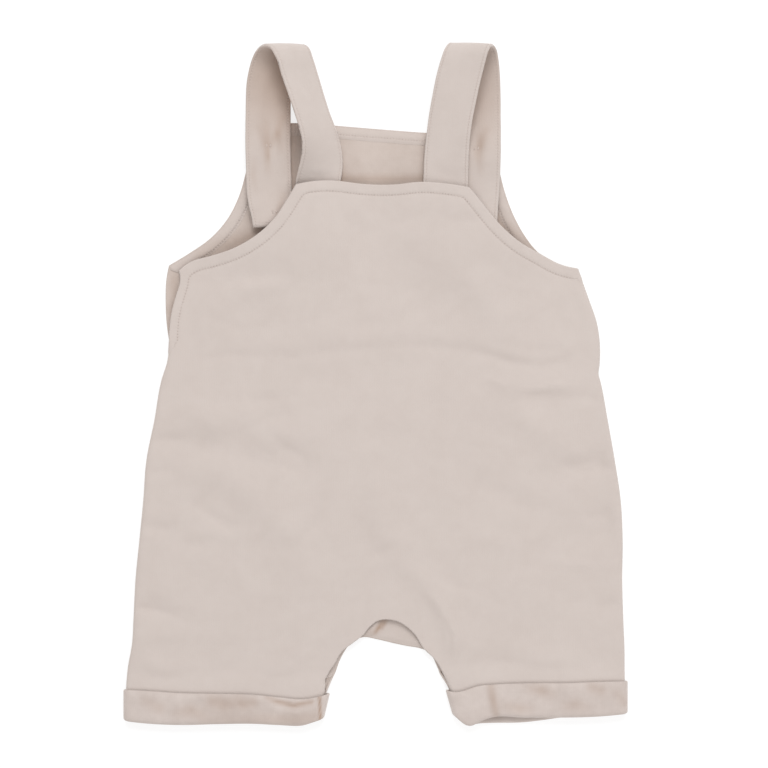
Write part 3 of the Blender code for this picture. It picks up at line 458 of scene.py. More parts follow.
    def part_of(self, polygon):
        """Triangles that lie within a closed line."""
        return self.tris[inside(self.points[self.tris].mean(axis=1), polygon)]

    def stitches(self, off):
        """Places of the topstitches on one face, the way they run and the way out of the cloth."""
        tree = kdtree.KDTree(len(self.points))
        for i, (x, y) in enumerate(self.points):
            tree.insert((x, y, 0), i)
        tree.balance()
        found = [tree.find((x, y, 0))[1] for x, y in self.sewn]
        line = self.middle[found] + self.normal[found] * off[found][:, None]
        out = self.normal[found] * np.sign(off[found])[:, None]
        return spaced_stitches(line, out, self.along[found])


def spaced_stitches(line, out, along):
    """Evenly spaced stitches on a line: their places, the way they run and the way out of the cloth."""
    wanted = (np.arange(1, int(along[-1] / STITCH_PITCH) - 1) + 0.5) * STITCH_PITCH
    behind, before = (read_at(wanted + reach, along, line) for reach in (-0.7, 0.7))
    return read_at(wanted, along, line), before - behind, read_at(wanted, along, out)


def placed(name, data):
    """Object made from a mesh, a lamp or a camera, in the scene."""
    item = bpy.data.objects.new(name, data)
    bpy.context.scene.collection.objects.link(item)
    return item


def solid(name, points, faces, surfaces, sides=None, facts=None, turn_faces=True):
    """Mesh object, in metres in the row frame, from those points in millimetres that its faces use.

    Facts are values kept at the points. Faces are turned outwards, unless they already point the right way."""
    used = np.unique(np.concatenate(faces))
    index = np.full(len(points), -1)
    index[used] = np.arange(len(used))
    mesh = bpy.data.meshes.new(name)
    mesh.from_pydata((np.asarray(points)[used] * MM + TABLE_SHIFT).tolist(), [],
                     [index[list(face)].tolist() for face in faces])
    for surface in surfaces:
        mesh.materials.append(surface)
    if sides is not None:
        mesh.polygons.foreach_set("material_index", sides)
    for label, values in (facts or {}).items():
        layer = mesh.attributes.new(label, "FLOAT", "POINT")
        layer.data.foreach_set("value", np.asarray(values, np.float32)[used])
    mesh.polygons.foreach_set("use_smooth", [True] * len(mesh.polygons))
    if turn_faces:
        made = bmesh.new()
        made.from_mesh(mesh)
        bmesh.ops.recalc_face_normals(made, faces=made.faces)
        made.to_mesh(mesh)
        made.free()
    return placed(name, mesh)


def cloth(name, panel, tris, above, below, surfaces, rim=None):
    """Closed cloth between an upper and a lower face made from a panel's points, its edge rounded."""
    used, tris = np.unique(tris, return_inverse=True)
    tris = tris.reshape(-1, 3)
    normal, middle = panel.normal[used], panel.middle[used]
    above, below, rim = (np.broadcast_to(value, len(panel.middle))[used]
                         for value in (above, below, panel.rim if rim is None else rim))
    upper = middle + normal * above[:, None]
    lower = middle + normal * below[:, None]
    edges = {pair for a, b, c in tris.tolist() for pair in ((a, b), (b, c), (c, a))}
    border = sorted(pair for pair in edges if pair[::-1] not in edges)
    out = np.zeros_like(middle)
    for a, b in border:
        ahead = middle[b] - middle[a]
        ahead /= np.linalg.norm(ahead)
        out[a] += np.cross(ahead, normal[a])
        out[b] += np.cross(ahead, normal[b])
    bordered = sorted({i for pair in border for i in pair})
    count = len(used)
    bends = np.radians([40.0, 90.0, 140.0])
    chain = {}
    rim_points = []
    for v in bordered:
        away = out[v] / np.linalg.norm(out[v]) * rim[v]
        centre = (upper[v] + lower[v]) / 2
        half = (upper[v] - lower[v]) / 2
        chain[v] = [v] + [2 * count + len(rim_points) + k for k in range(len(bends))] + [v + count]
        rim_points.extend(centre + away * math.sin(bend) + half * math.cos(bend) for bend in bends)
    faces = [tuple(t) for t in tris] + [tuple(t[::-1] + count) for t in tris]
    sides = [0] * len(tris) + [1] * len(tris)
    for a, b in border:
        for k in range(len(bends) + 1):
            faces.append((chain[b][k], chain[a][k], chain[a][k + 1], chain[b][k + 1]))
            sides.append(0 if k < 2 else 1)
    facts = {}
    for label, values in (("stitch_mm", panel.stitch), ("along_mm", panel.along), ("painted_shade", panel.painted_shade)):
        values = values[used]
        beneath = 0 * values if label == "painted_shade" else values      # the painted shade shows on the upper face only
        around = np.repeat((values[bordered] + beneath[bordered]) / 2, len(bends))
        facts[label] = np.concatenate([values, beneath, around])
    return solid(name, np.vstack([upper, lower, np.array(rim_points)]), faces, surfaces,
                 sides if len(surfaces) > 1 else None, facts)


def cuff_top(x):
    """Height in plan of the cuffs' top edges, the left one lower than the right."""
    return np.where(x < 0, -198.2, -192.6)


def leg_rise(x, y):
    """0 on the body, 1 where the leg lies inside the cuff."""
    return smooth_step((cuff_top(x) + 3.0 + RAMP - y) / RAMP)


def plateau(x, y, centre_x, centre_y, half_x, half_y, fall):
    """1 on a flat-topped patch, falling softly to 0 round it."""
    away = np.hypot(np.maximum(np.abs(x - centre_x) - half_x, 0), np.maximum(np.abs(y - centre_y) - half_y, 0))
    return smooth_step(1 - away / fall)


def seam_height(x, y):
    """Height of the line where front and back meet."""
    return SEAM_Z + (0.5 * (FRONT_Z + CUFF_LIFT + LEG_TOP_Z) - 0.1 - SEAM_Z) * leg_rise(x, y)


def fold(x, y, row):
    """Height of one fold: a soft ridge or trough along a line of places."""
    width, places = row
    near = np.full(x.shape, 1e9)
    height = np.zeros(x.shape)
    for (x0, y0, height0), (x1, y1, height1) in zip(places, places[1:]):
        span = np.array([x1 - x0, y1 - y0])
        t = np.clip(((x - x0) * span[0] + (y - y0) * span[1]) / (span @ span), 0, 1)
        away = np.hypot(x - x0 - t * span[0], y - y0 - t * span[1])
        height = np.where(away < near, height0 + (height1 - height0) * t, height)
        near = np.minimum(away, near)
    return height * np.exp(-(near / width) ** 2)


def back_height(x, y):
    """Middle of the back's wall: on the front in the middle, over straps, facings and cuffs at the edges."""
    left = np.interp(-y, [-p[1] for p in LEFT_SIDE], [p[0] for p in LEFT_SIDE])
    right = np.interp(-y, [-p[1] for p in RIGHT_SIDE], [p[0] for p in RIGHT_SIDE])
    beside = np.clip(np.minimum(x - left, right - x), 0, None)
    sewn = np.where(x > 0, 1.0, smooth_step((VENT_FOOT + VENT_FADE - y) / VENT_FADE))
    base = BACK_LOW + (BACK_EDGE - BACK_LOW) * np.exp(-beside / SIDE_SOFT) * sewn
    for cx, cy, half_x, half_y, fall, height in BACK_LIFTS:
        base = np.maximum(base, BACK_LOW + (height - BACK_LOW) * plateau(x, y, cx, cy, half_x, half_y, fall))
    held = np.zeros_like(x)
    top = base
    for cx, cy, half_x, half_y, fall, height in BACK_SUPPORTS:
        part = plateau(x, y, cx, cy, half_x, half_y, fall)
        top = np.maximum(top, base + (height - base) * part)
        held = np.maximum(held, part)
    folds = FOLD_SCALE * sum(fold(x, y, row) for row in BACK_FOLDS)
    fine = CREASE_SCALE * sum(fold(x, y, row) for row in BACK_CREASES)
    for height, slant, stretch, size, seed in BACK_WAVES:
        fine += height * undulation(x + slant * y, stretch * y, size, seed)
    rise = leg_rise(x, y)
    z = top + folds * (1 - held) * (1 - rise) * smooth_step(beside / FOLD_FADE)
    z += np.maximum(fine + CREASE_RAISED, CREASE_DEEPEST) * (1 - 0.7 * held) * (1 - rise) * smooth_step(beside / 5.0)
    z = np.maximum(z, FRONT_Z + CLOTH + 0.2)
    return z + (LEG_TOP_Z - z) * rise


def back_seam(x, y):
    """Last points of the back at the seam, above the front's."""
    return seam_height(x, y) + SEAM_GAP / 2 + SEAM_RIM


# The cloth's surface: fine knitted ribs under a short brushed nap, with a cloudy unevenness of tone.
class Nodes:
    """Short ways to add nodes to a tree; each gives what comes out of the new node."""

    def __init__(self, tree):
        self.tree = tree

    def fill(self, inputs, values):
        """Link or set the inputs of a node."""
        for key, value in values.items():
            if isinstance(value, bpy.types.NodeSocket):
                self.tree.links.new(value, inputs[key])
            else:
                inputs[key].default_value = value

    def add(self, kind, values=None, **settings):
        """Node of any kind."""
        node = self.tree.nodes.new(kind)
        for label, value in settings.items():
            setattr(node, label, value)
        self.fill(node.inputs, values or {})
        return node.outputs

    def calc(self, operation, *values, **settings):
        """Result of a calculation."""
        return self.add("ShaderNodeMath", dict(enumerate(values)), operation=operation, **settings)[0]

    def noise(self, place, scale, **values):
        """Soft random value, 0 to 1."""
        return self.add("ShaderNodeTexNoise", {"Vector": place, "Scale": scale, **values})["Fac"]

    def ranged(self, value, low, high, start=0.0, end=1.0, **settings):
        """Value brought from one range to another and kept within it."""
        return self.add("ShaderNodeMapRange", {"Value": value, "From Min": low, "From Max": high, "To Min": start,
                                               "To Max": end}, **settings)["Result"]

    def mix(self, share, first, second, **settings):
        """Colour between two others."""
        return self.add("ShaderNodeMix", {0: share, 6: first, 7: second}, data_type="RGBA", **settings)[2]

    def bump(self, height, strength, distance):
        """Normal of a rough surface."""
        return self.add("ShaderNodeBump", {"Height": height, "Strength": strength, "Distance": distance})["Normal"]

    def end(self, values):
        """What the group gives."""
        self.fill(self.tree.nodes.new("NodeGroupOutput").inputs, values)


def new_group(name, kind, takes, gives):
    """Node group with named inputs and outputs."""
    group = bpy.data.node_groups.new(name, kind)
    for in_out, sockets in (("INPUT", takes), ("OUTPUT", gives)):
        for label, socket in sockets.items():
            group.interface.new_socket(label, in_out=in_out, socket_type="NodeSocket" + socket)
    return group, group.nodes.new("NodeGroupInput").outputs, Nodes(group)


def new_material(name):
    """Material, the inputs of its shader, and its nodes."""
    made = bpy.data.materials.new(name)
    made.use_nodes = True
    return made, made.node_tree.nodes["Principled BSDF"].inputs, Nodes(made.node_tree)


def knit_group():
    """Brushed knit: colour and height from the place on the cloth, the colour darkened by the painted shade kept at
    the points.
    """
    group, given, nodes = new_group(
        "brushed knit", "ShaderNodeTree",
        {"Place": "Vector", "Light tone": "Color", "Dark tone": "Color", "Clouding": "Float", "Rib pitch": "Float",
         "Nap": "Float", "Painted shade": "Float"}, {"Colour": "Color", "Height": "Float"})
    place = given["Place"]
    cloud = nodes.noise(place, 38.0, Detail=4.0, Roughness=0.6, Distortion=0.6)
    patch = nodes.noise(place, 150.0, Detail=3.0, Roughness=0.65)
    fibre = nodes.noise(place, 2600.0, Detail=3.0, Roughness=0.7)
    waver = nodes.noise(place, 220.0, Detail=2.0)
    # ribs across and, closer, along the cloth; together they make the loops of the knit
    parts = nodes.add("ShaderNodeSeparateXYZ", {"Vector": place})
    turn = nodes.calc("DIVIDE", 2 * math.pi, given["Rib pitch"])
    bend = nodes.calc("MULTIPLY_ADD", waver, 0.0012, parts["X"])
    rib_x = nodes.calc("SINE", nodes.calc("MULTIPLY", bend, turn))
    lean = nodes.calc("MULTIPLY_ADD", rib_x, 0.00025, parts["Y"])
    rib_y = nodes.calc("SINE", nodes.calc("MULTIPLY", nodes.calc("MULTIPLY", lean, turn), 1.35))
    loops = nodes.ranged(nodes.calc("MULTIPLY_ADD", rib_x, 0.6, rib_y), -1.6, 1.6)
    height = nodes.calc("MULTIPLY_ADD", loops, 0.5, nodes.calc("MULTIPLY", fibre, given["Nap"]))
    height = nodes.calc("MULTIPLY_ADD", patch, 1.2, height)
    # clouds make it darker, loops and the tips of fibres lighter
    both = nodes.calc("MULTIPLY_ADD", patch, 0.38, nodes.calc("MULTIPLY", cloud, 0.62))
    depth = nodes.calc("MULTIPLY", nodes.ranged(both, 0.36, 0.64), given["Clouding"])
    depth = nodes.calc("MULTIPLY_ADD", loops, -0.16, depth)
    depth = nodes.calc("MULTIPLY_ADD", fibre, -0.30, depth)
    depth = nodes.calc("ADD", depth, 0.23, use_clamp=True)
    colour = nodes.mix(depth, given["Light tone"], given["Dark tone"])
    # painted shade: the colour is multiplied towards a warm brown by the painted shade value kept at the points
    colour = nodes.mix(given["Painted shade"], colour, (0.52, 0.32, 0.17, 1.0), blend_type="MULTIPLY")
    nodes.end({"Colour": colour, "Height": height})
    return group


def stitched_group():
    """Painted shade in the needle holes and faintly along the groove of a stitch line, and small puckers, from the
    distance to it and along it.
    """
    group, given, nodes = new_group(
        "stitched hem", "ShaderNodeTree",
        {"Off line": "Float", "Along": "Float", "Pitch": "Float", "Depth": "Float", "Colour": "Color",
         "Height": "Float"}, {"Colour": "Color", "Height": "Float"})
    squared = nodes.calc("MULTIPLY", given["Off line"], given["Off line"])
    near = nodes.ranged(squared, 0.0, 0.30, 1.0, 0.0)
    beside = nodes.ranged(squared, 0.0, 5.0, 1.0, 0.0, interpolation_type="SMOOTHSTEP")
    turn = nodes.calc("MULTIPLY", nodes.calc("DIVIDE", given["Along"], given["Pitch"]), 2 * math.pi)
    wave = nodes.calc("COSINE", turn)
    hole = nodes.calc("MULTIPLY", nodes.ranged(wave, 0.25, 0.95), near)
    # painted shade: dark in the needle holes and a little along the groove of the line
    dark = nodes.calc("MULTIPLY_ADD", hole, 0.42, nodes.calc("MULTIPLY", near, 0.12))
    uneven = nodes.add("ShaderNodeTexNoise", {"W": given["Along"], "Scale": 0.16, "Detail": 2.0},
                       noise_dimensions="1D")["Fac"]
    dark = nodes.calc("MULTIPLY", dark, nodes.ranged(uneven, 0.3, 0.7, 0.25, 1.35))
    dark = nodes.calc("MULTIPLY", dark, given["Depth"], use_clamp=True)
    height = nodes.calc("MULTIPLY_ADD", nodes.calc("MULTIPLY", wave, beside), -0.7, given["Height"])
    nodes.end({"Colour": nodes.mix(dark, given["Colour"], (0.20, 0.14, 0.115, 1.0)),
               "Height": nodes.calc("MULTIPLY_ADD", hole, -1.2, height)})
    return group


KNIT = knit_group()
STITCHED = stitched_group()


def jersey(name, light, dark, clouding, rib=0.0011, nap=0.9, stitched=0.6):
    """Knitted cloth in two close tones, with painted shade from the points' values; stitched says how dark the
    painted shade in its needle holes is.
    """
    made, shader, nodes = new_material(name)

    def kept(label):
        """Value kept at the points of the mesh."""
        return nodes.add("ShaderNodeAttribute", attribute_name=label)["Fac"]

    look = nodes.add("ShaderNodeGroup", {
        "Place": nodes.add("ShaderNodeTexCoord")["Object"], "Painted shade": kept("painted_shade"), "Light tone": (*light, 1.0),
        "Dark tone": (*dark, 1.0), "Clouding": clouding, "Rib pitch": rib, "Nap": nap}, node_tree=KNIT)
    if stitched:
        look = nodes.add("ShaderNodeGroup", {
            "Off line": kept("stitch_mm"), "Along": kept("along_mm"), "Colour": look["Colour"],
            "Height": look["Height"], "Pitch": STITCH_PITCH, "Depth": stitched}, node_tree=STITCHED)
    nodes.fill(shader, {
        "Base Color": look["Colour"], "Normal": nodes.bump(look["Height"], 0.35, 0.0002), "Roughness": 0.95,
        "Specular IOR Level": 0.15, "Sheen Weight": 0.7, "Sheen Roughness": 0.45,
        "Sheen Tint": (1.0, 0.96, 0.93, 1.0)})
    return made


def thread_material():
    """Pale spun thread with a faint twist."""
    made, shader, nodes = new_material("oat thread")
    twist = nodes.noise(nodes.add("ShaderNodeTexCoord")["Object"], 5200.0)
    nodes.fill(shader, {"Base Color": nodes.mix(twist, (0.50, 0.41, 0.365, 1.0), (0.68, 0.60, 0.55, 1.0)),
                        "Normal": nodes.bump(twist, 0.3, 0.0001), "Roughness": 0.75})
    return made


def stitch_tree():
    """Small threads laid at points, each turned along its seam and out of the cloth."""
    tree, given, nodes = new_group(
        "laid stitches", "GeometryNodeTree",
        {"Places": "Geometry", "Length": "Float", "Thickness": "Float", "Thread": "Material"},
        {"Stitches": "Geometry"})
    size = nodes.add("ShaderNodeCombineXYZ", {"X": given["Length"], "Y": given["Thickness"], "Z": given["Thickness"]})
    thread = nodes.add("GeometryNodeMeshUVSphere", {"Segments": 7, "Rings": 5, "Radius": 0.5})
    thread = nodes.add("GeometryNodeTransform", {"Geometry": thread["Mesh"], "Scale": size[0]})
    ahead, out = (nodes.add("GeometryNodeInputNamedAttribute", {"Name": label}, data_type="FLOAT_VECTOR")["Attribute"]
                  for label in ("ahead", "out"))
    turn = nodes.add("FunctionNodeAlignRotationToVector", {"Vector": ahead}, axis="X")
    turn = nodes.add("FunctionNodeAlignRotationToVector", {"Rotation": turn["Rotation"], "Vector": out}, axis="Z",
                     pivot_axis="X")
    laid = nodes.add("GeometryNodeInstanceOnPoints", {"Points": given["Places"], "Instance": thread["Geometry"],
                                                      "Rotation": turn["Rotation"]})
    real = nodes.add("GeometryNodeRealizeInstances", {"Geometry": laid["Instances"]})
    painted = nodes.add("GeometryNodeSetMaterial", {"Geometry": real["Geometry"], "Material": given["Thread"]})
    nodes.end({"Stitches": painted["Geometry"]})
    return tree


def sew(name, groups, length=1.55, thickness=0.40):
    """One mesh of stitches from groups of their places, the way they run and the way out of the cloth."""
    places, ahead, out = (np.vstack([group[k] for group in groups]) for k in range(3))
    mesh = bpy.data.meshes.new(name)
    mesh.from_pydata((places * MM + TABLE_SHIFT).tolist(), [], [])
    for label, values in (("ahead", ahead), ("out", out)):
        layer = mesh.attributes.new(label, "FLOAT_VECTOR", "POINT")
        layer.data.foreach_set("vector", values.astype(np.float32).ravel())
    seam = placed(name + "_places", mesh)
    modifier = seam.modifiers.new("stitches", "NODES")
    modifier.node_group = STITCHES
    sockets = {item.name: item.identifier for item in STITCHES.interface.items_tree if item.in_out == "INPUT"}
    for label, value in (("Length", length * MM), ("Thickness", thickness * MM), ("Thread", THREAD)):
        modifier[sockets[label]] = value
    ready = seam.evaluated_get(bpy.context.evaluated_depsgraph_get())
    made = bpy.data.meshes.new_from_object(ready)
    seam.modifiers.remove(modifier)
    bpy.data.objects.remove(seam)
    made.name = name
    made.polygons.foreach_set("use_smooth", [True] * len(made.polygons))
    item = placed(name, made)
    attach(item, "root")
    return item


THREAD = thread_material()
STITCHES = stitch_tree()
JERSEY = jersey("oat jersey", (0.598, 0.526, 0.486), (0.530, 0.456, 0.416), 0.32)
JERSEY_INSIDE = jersey("oat jersey wrong side", (0.575, 0.492, 0.444), (0.480, 0.398, 0.350), 0.55, 0.0014, 1.3)

back = Panel(BACK_EDGES, BACK_STEP, BACK_HEMS, VENT_FOOT_STITCHES)
back.mesh()
back.lift(back_height, back_seam)
back_above = CLOTH / 2 + back.hem_relief(HEM_RISE, HEM_GROOVE)
back_cloth = cloth("back_cloth", back, back.tris, back_above, -CLOTH / 2, [JERSEY, JERSEY_INSIDE])
back_stitches = sew("back_topstitching", [back.stitches(back_above)])
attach(back_cloth, "root")
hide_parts("back_panel")


# ---- Front ------------------------------------------------------------------------------------
# The lower layer, whose inner face shows in the neck opening, at the armholes, in the vent and at the
# crotch. It carries the bib; its side seams meet the back's.

FRONT_STEP = 2.6
FACING_WIDTH = 6.2      # from the inner ring of the outline, which lies 2.1 in from the edge
FACING_EDGE = 8.3       # where the facing has thinned out, from the edge
FRONT_EDGES = (
    # name, rolled into a seam, rows of x, y; anticlockwise
    ("vent", 0, ((-132.9, 75.6), (-134.6, 66), (-135, 53.6), (-134.5, 40.1), (-132.4, 25))),
    ("left side", 1, LEFT_SIDE),
    ("left hem", 1, LEFT_HEM),
    ("left leg in cuff", 1, ((-34.4, -209), (-31.8, -199), (-28.4, -191))),
    ("left inseam", 0, ((-28.4, -191), (-26, -186.2), (-22.7, -177.4), (-16.5, -168),
                        (-8, -163.2), (0.4, -164.5), (10.2, -166.8))),
    ("right inseam", 0, ((10.2, -166.8), (20, -168.9), (28.5, -170.4), (34.4, -173), (38.8, -180.5),
                         (41.2, -186.5))),
    ("right leg in cuff", 1, ((41.2, -186.5), (46.6, -195), (49.8, -204.5))),
    ("right hem", 1, ((49.8, -204.5), (66, -209), (90, -211), (118, -208.4), (159.6, -204.5))),
    ("right side", 1, RIGHT_SIDE[::-1]),
    ("right armhole", 0, ((129.6, 73.3), (116, 77.2), (104, 84.6), (96.4, 94), (89.6, 105.8),
                          (84.3, 119), (80.2, 134), (77.4, 148), (75, 160.6))),
    ("bib top", 0, ((75, 160.6), (32.4, 161), (5, 163), (-26.4, 165.6), (-38, 166.6), (-50, 167.2), (-58, 167.2),
                    (-77.4, 164.4))),
    ("left armhole", 0, ((-77.4, 168), (-80.6, 150), (-83.6, 134.8), (-88.2, 119.2), (-96, 104.4),
                         (-107, 92.4), (-119, 84), (-132.9, 75.6))),
)
FRONT_HEMS = {"right armhole": 7.2, "bib top": 5.7, "left armhole": 7.2}
FRONT_FOLDS = (
    (1.9, ((-8, -162.8, 0.4), (-4, -158.8, 1.3), (0.8, -153.9, 1.3), (4, -150, 0.2))),
    (7, ((-10, 142, 0.4), (8, 147, 0.7), (26, 144, 0.3))),
    (5, ((-88, 132, 0.3), (-100, 108, 0.9), (-118, 96, 0.4))),
    (4, ((84, 118, 0.3), (92, 104, 0.8), (104, 92, 0.3))),
    # under the back, like those that show on it
    (7, ((-112, 18, 0.12), (-60, 24, 0.36), (0, 28, 0.24), (60, 24, 0.42), (112, 12, 0.12))),
    (9, ((-106, -4, 0.12), (-70, -20, 0.42), (-30, -28, 0.18))),
    (8, ((108, -36, 0.12), (78, -62, 0.42), (44, -72, 0.18))),
    (6, ((-124, -96, 0.12), (-96, -112, 0.36), (-64, -118, 0.18))),
    (6, ((124, -104, 0.12), (98, -120, 0.42), (72, -132, 0.18))),
    (8, ((-36, 76, 0.12), (6, 66, 0.30), (44, 74, 0.12))),
    (5, ((16, -92, 0.12), (26, -108, 0.36), (34, -126, 0.12))),
)
FRONT_PAINTED_SHADE = (
    # painted shade on the inner face where less light reaches it: width, then x, y and how much along it
    (3, ((-26, 131, 0.24), (30, 131, 0.24))),
    (4, ((-25, 150, 0.1), (-23, 134, 0.17))),
    (4, ((33, 158, 0.07), (32, 134, 0.15))),
    (6, ((-54, 167, 0.24), (-54, 163, 0.2), (-55, 140, 0.24), (-55, 120, 0.31))),
    (6, ((-60, 112, 0.24), (-78, 94, 0.27), (-112, 82, 0.14))),
    (6, ((66, 120, 0.2), (78, 102, 0.27), (104, 82, 0.17))),
    (3, ((-129, 68, 0.15), (-130, 36, 0.15))),
    (1.5, ((-3.4, -161.6, 0.14), (2.7, -156.6, 0.80), (4.4, -154, 0.80), (6, -151.6, 0.5))),
)
INSEAM_INNER = (
    # x, y along the inner edge of the strip on the inner legs, from the left cuff to the right one
    (-43, -193.4), (-38.6, -184), (-31, -171), (-20, -160.5), (-8, -148.6), (6, -143),
    (21, -146.8), (33, -157.6), (44.6, -170), (52.6, -183), (56.6, -190),
)


def front_height(x, y):
    """Middle of the front's wall: on the surface, raised over the buttons and inside the cuffs."""
    z = FRONT_Z + CUFF_LIFT * leg_rise(x, y)
    z = z + np.maximum(sum(fold(x, y, row) for row in FRONT_FOLDS), 0.0)
    for button_x, button_y, button_z in BUTTON_SPOTS.values():
        if button_z == 0:
            away = np.hypot(x - button_x, y - button_y) - BUMP_R
            z = z + (BUTTON_THICK + 0.3) * smooth_step(1 - away / BUMP_FALL)
    return z


def front_seam(x, y):
    """Last points of the front at the seam, below the back's."""
    return seam_height(x, y) - SEAM_GAP / 2 - SEAM_RIM


front = Panel(FRONT_EDGES, FRONT_STEP, FRONT_HEMS)
facing_run = front.run("right armhole", "left armhole", skip_first=1)
facing_line = front.rings[-1][facing_run] + front.inward[facing_run] * FACING_WIDTH
facing_line = facing_line[nearest(facing_line, front.rings[-1][facing_run])[0] > FACING_WIDTH * 0.93]
facing_line = np.vstack([facing_line, front.rings[-1][(facing_run[-1] + 1) % len(front.loop)]])
facing_band = front.band(facing_run, facing_line)
inseam_run = front.run("left inseam", "right inseam", skip_first=1, skip_last=1)
inseam_band = front.band(inseam_run, smooth_curve(INSEAM_INNER, FRONT_STEP))
front.mesh()
front.lift(front_height, front_seam)
# painted shade on the front's inner face beside the straps, at the neck, armholes, vent and crotch hollow
front.painted_shade = np.clip(sum(fold(*front.points.T, row) for row in FRONT_PAINTED_SHADE), 0.0, 0.85)
front_below = -CLOTH / 2 + front.drawn_in(HEM_GROOVE)
front_cloth = cloth("front_cloth", front, front.tris, CLOTH / 2, front_below, [JERSEY_INSIDE, JERSEY])
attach(front_cloth, "root")
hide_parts("front_panel")


# ---- Facings ----------------------------------------------------------------------------------
# Two strips of the same cloth sewn on the front's inner face: one round the bib and the armholes, one
# along the inner legs and the crotch. Both are cut on the curve and topstitched.

FACING_THICK = 0.9
INSEAM_THICK = 0.8
FACING_LEAST = 0.10     # where they have thinned out
FACING_CLOTH = jersey("oat facing", (0.590, 0.514, 0.472), (0.510, 0.434, 0.390), 0.4, stitched=0.4)
on_front = CLOTH / 2 + 0.03
thinned = smooth_step((front.edge - 1.0) / 2.2 + 0.1)       # towards the edge of the front
facing_wall = FACING_THICK * thinned * smooth_step((FACING_EDGE - front.edge) / 2.0)
facing_above = on_front + np.maximum(facing_wall + front.hem_relief(0.0, 0.3), FACING_LEAST)
front_facing = cloth("front_facing_cloth", front, front.part_of(facing_band), facing_above, on_front,
                     [FACING_CLOTH], rim=0.06)
front_stitches = sew("front_topstitching", [front.stitches(facing_above), front.stitches(front_below)])
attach(front_facing, "root")
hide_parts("front_facing")
inseam_wall = np.maximum(INSEAM_THICK * thinned, FACING_LEAST)
inseam_facing = cloth("inseam_facing_cloth", front, front.part_of(inseam_band), on_front + inseam_wall, on_front,
                      [FACING_CLOTH], rim=0.06)
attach(inseam_facing, "root")
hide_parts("inseam_facing")


# ---- Straps -----------------------------------------------------------------------------------
# Two bands, each a strip folded into a flat tube, turned, pressed and topstitched along both edges.
# Each is sewn in under the back's neck edge, loops forward and is buttoned inside the bib.

STRAP_WIDTH = 29.0
STRAP_HALF = 1.2        # half the thickness of the doubled strap
STRAP_STEP = 1.7
STRAP_HOLLOW = 0.1      # half the air between its two layers
STRAP_CROWN = 0.22      # how much thicker it is in the middle, and thinner along its stitching
STRAP_WAVE = 0.28       # height of its random unevenness
SKEW_FROM = 5.0         # a strap's cross lines begin to lean at this height and lean fully this much higher
SKEW_RISE = 8.0
LEFT_STRAP = (
    # x, y, z, tilt in degrees
    (-63.8, 99.6, 5.8, 6), (-64.8, 105.5, 6.2, 6), (-66.6, 113.6, 6.4, 7), (-67.9, 122, 5.7, 9),
    (-68.3, 131, 5.9, 9), (-68.5, 140, 7, 9), (-68.6, 147, 7.9, 9), (-68.7, 153, 8.2, 9),
    (-68.7, 160, 8.1, 9), (-68.7, 168, 7.1, 10), (-68.7, 180, 4.8, 11), (-68.2, 192, 4.8, 13),
    (-66.4, 201.5, 5.7, 15), (-64, 208.8, 7.7, 20), (-61.2, 213.2, 10.4, 26), (-57.8, 214.6, 13.6, 31),
    (-54.2, 212.4, 15.6, 35), (-51.9, 207.7, 15.4, 39), (-47.6, 194.4, 13.2, 40), (-42.4, 178.6, 12.8, 42),
    (-39, 168.3, 13.1, 42), (-36.8, 161.9, 12.9, 40.5), (-34.9, 154.6, 11.6, 38), (-34.2, 148, 10.2, 32),
    (-34.4, 141.7, 8.2, 24), (-35.4, 136, 6.2, 15), (-36.5, 131, 4.2, 6), (-37, 126, 3.2, 0),
    (-37.4, 119.6, 3.2, 0),
)
RIGHT_STRAP = (
    # x, y, z, tilt in degrees
    (63, 97.6, 5.6, -2), (63.4, 104, 5.7, -2), (63.9, 113.5, 5.7, -3), (64.6, 122, 5, -5),
    (65.1, 130, 5.3, -6), (65.3, 137, 6.5, -7), (65.4, 143, 7.7, -7), (65.5, 150, 8.1, -7),
    (65.5, 157, 7.9, -7), (65.6, 163, 6.9, -7), (65.6, 169, 5.5, -8), (65.7, 180, 3.9, -8),
    (65.5, 190, 3.9, -9), (65.1, 199, 4.3, -10), (64.3, 207, 5.7, -13), (63.2, 212.6, 8.2, -18),
    (61.6, 215, 11.6, -23), (59.8, 214.8, 14.6, -23), (57.7, 211.4, 16.2, -20), (56, 206.2, 16, -16),
    (53.9, 198.8, 14.8, -14), (50, 180.8, 12.2, -15), (47.7, 168.2, 10.8, -17), (46.4, 158, 9.6, -17),
    (45.6, 149, 8.4, -15), (45.1, 140, 7.3, -12), (44.9, 131, 6.3, -8), (44.8, 126, 6.2, -6),
    (44.9, 119.4, 6.4, -6),
)
STRAP_STITCH = 12.6     # how far from the strap's middle line its topstitching runs
STRAP_ACROSS = (14.5, 14.3, 13.9, 13.4, 13, 12.6, 12.2, 11.8, 11.2, 10.4, 9, 7.2, 5.4, 3.6, 1.8, 0)


def creased(along, u, rows):
    """Heights of creases at a distance across a strap, for each of its sections."""
    return sum(fold(along, np.full(len(along), float(u)), row) for row in rows)


class Strap:
    """Path of a strap and the bent middle surface round it."""

    def __init__(self, rows, creases, skew):
        path = smooth_curve(rows, STRAP_STEP, measured=3)
        self.centre = path[:, :3]
        tilt = np.radians(path[:, 3])
        self.ahead = unit(np.gradient(self.centre, axis=0))
        lean = skew * smooth_step((self.centre[:, 2] - SKEW_FROM) / SKEW_RISE)
        self.across = np.stack([np.cos(tilt), lean, -np.sin(tilt)], axis=1)
        self.up = unit(np.cross(self.across, self.ahead))
        self.along = np.arange(len(path)) * STRAP_STEP
        self.creases = creases

    def at(self, u, v):
        """Points at a distance across the strap and a distance off its middle surface, for each section."""
        wave = undulation(self.along, np.full(len(self.along), float(u)), 17.0, 2.0 + self.centre[0, 0])
        bent = creased(self.along, u, self.creases) + STRAP_WAVE * wave
        end = np.minimum(self.along, self.along[::-1])          # both ends are rounded off
        rounded = np.where(end < 0.5 * STRAP_STEP, 0.3, np.where(end < 1.5 * STRAP_STEP, 0.85, 1.0))
        return self.centre + self.across * u + self.up * (v * rounded + bent)[:, None]


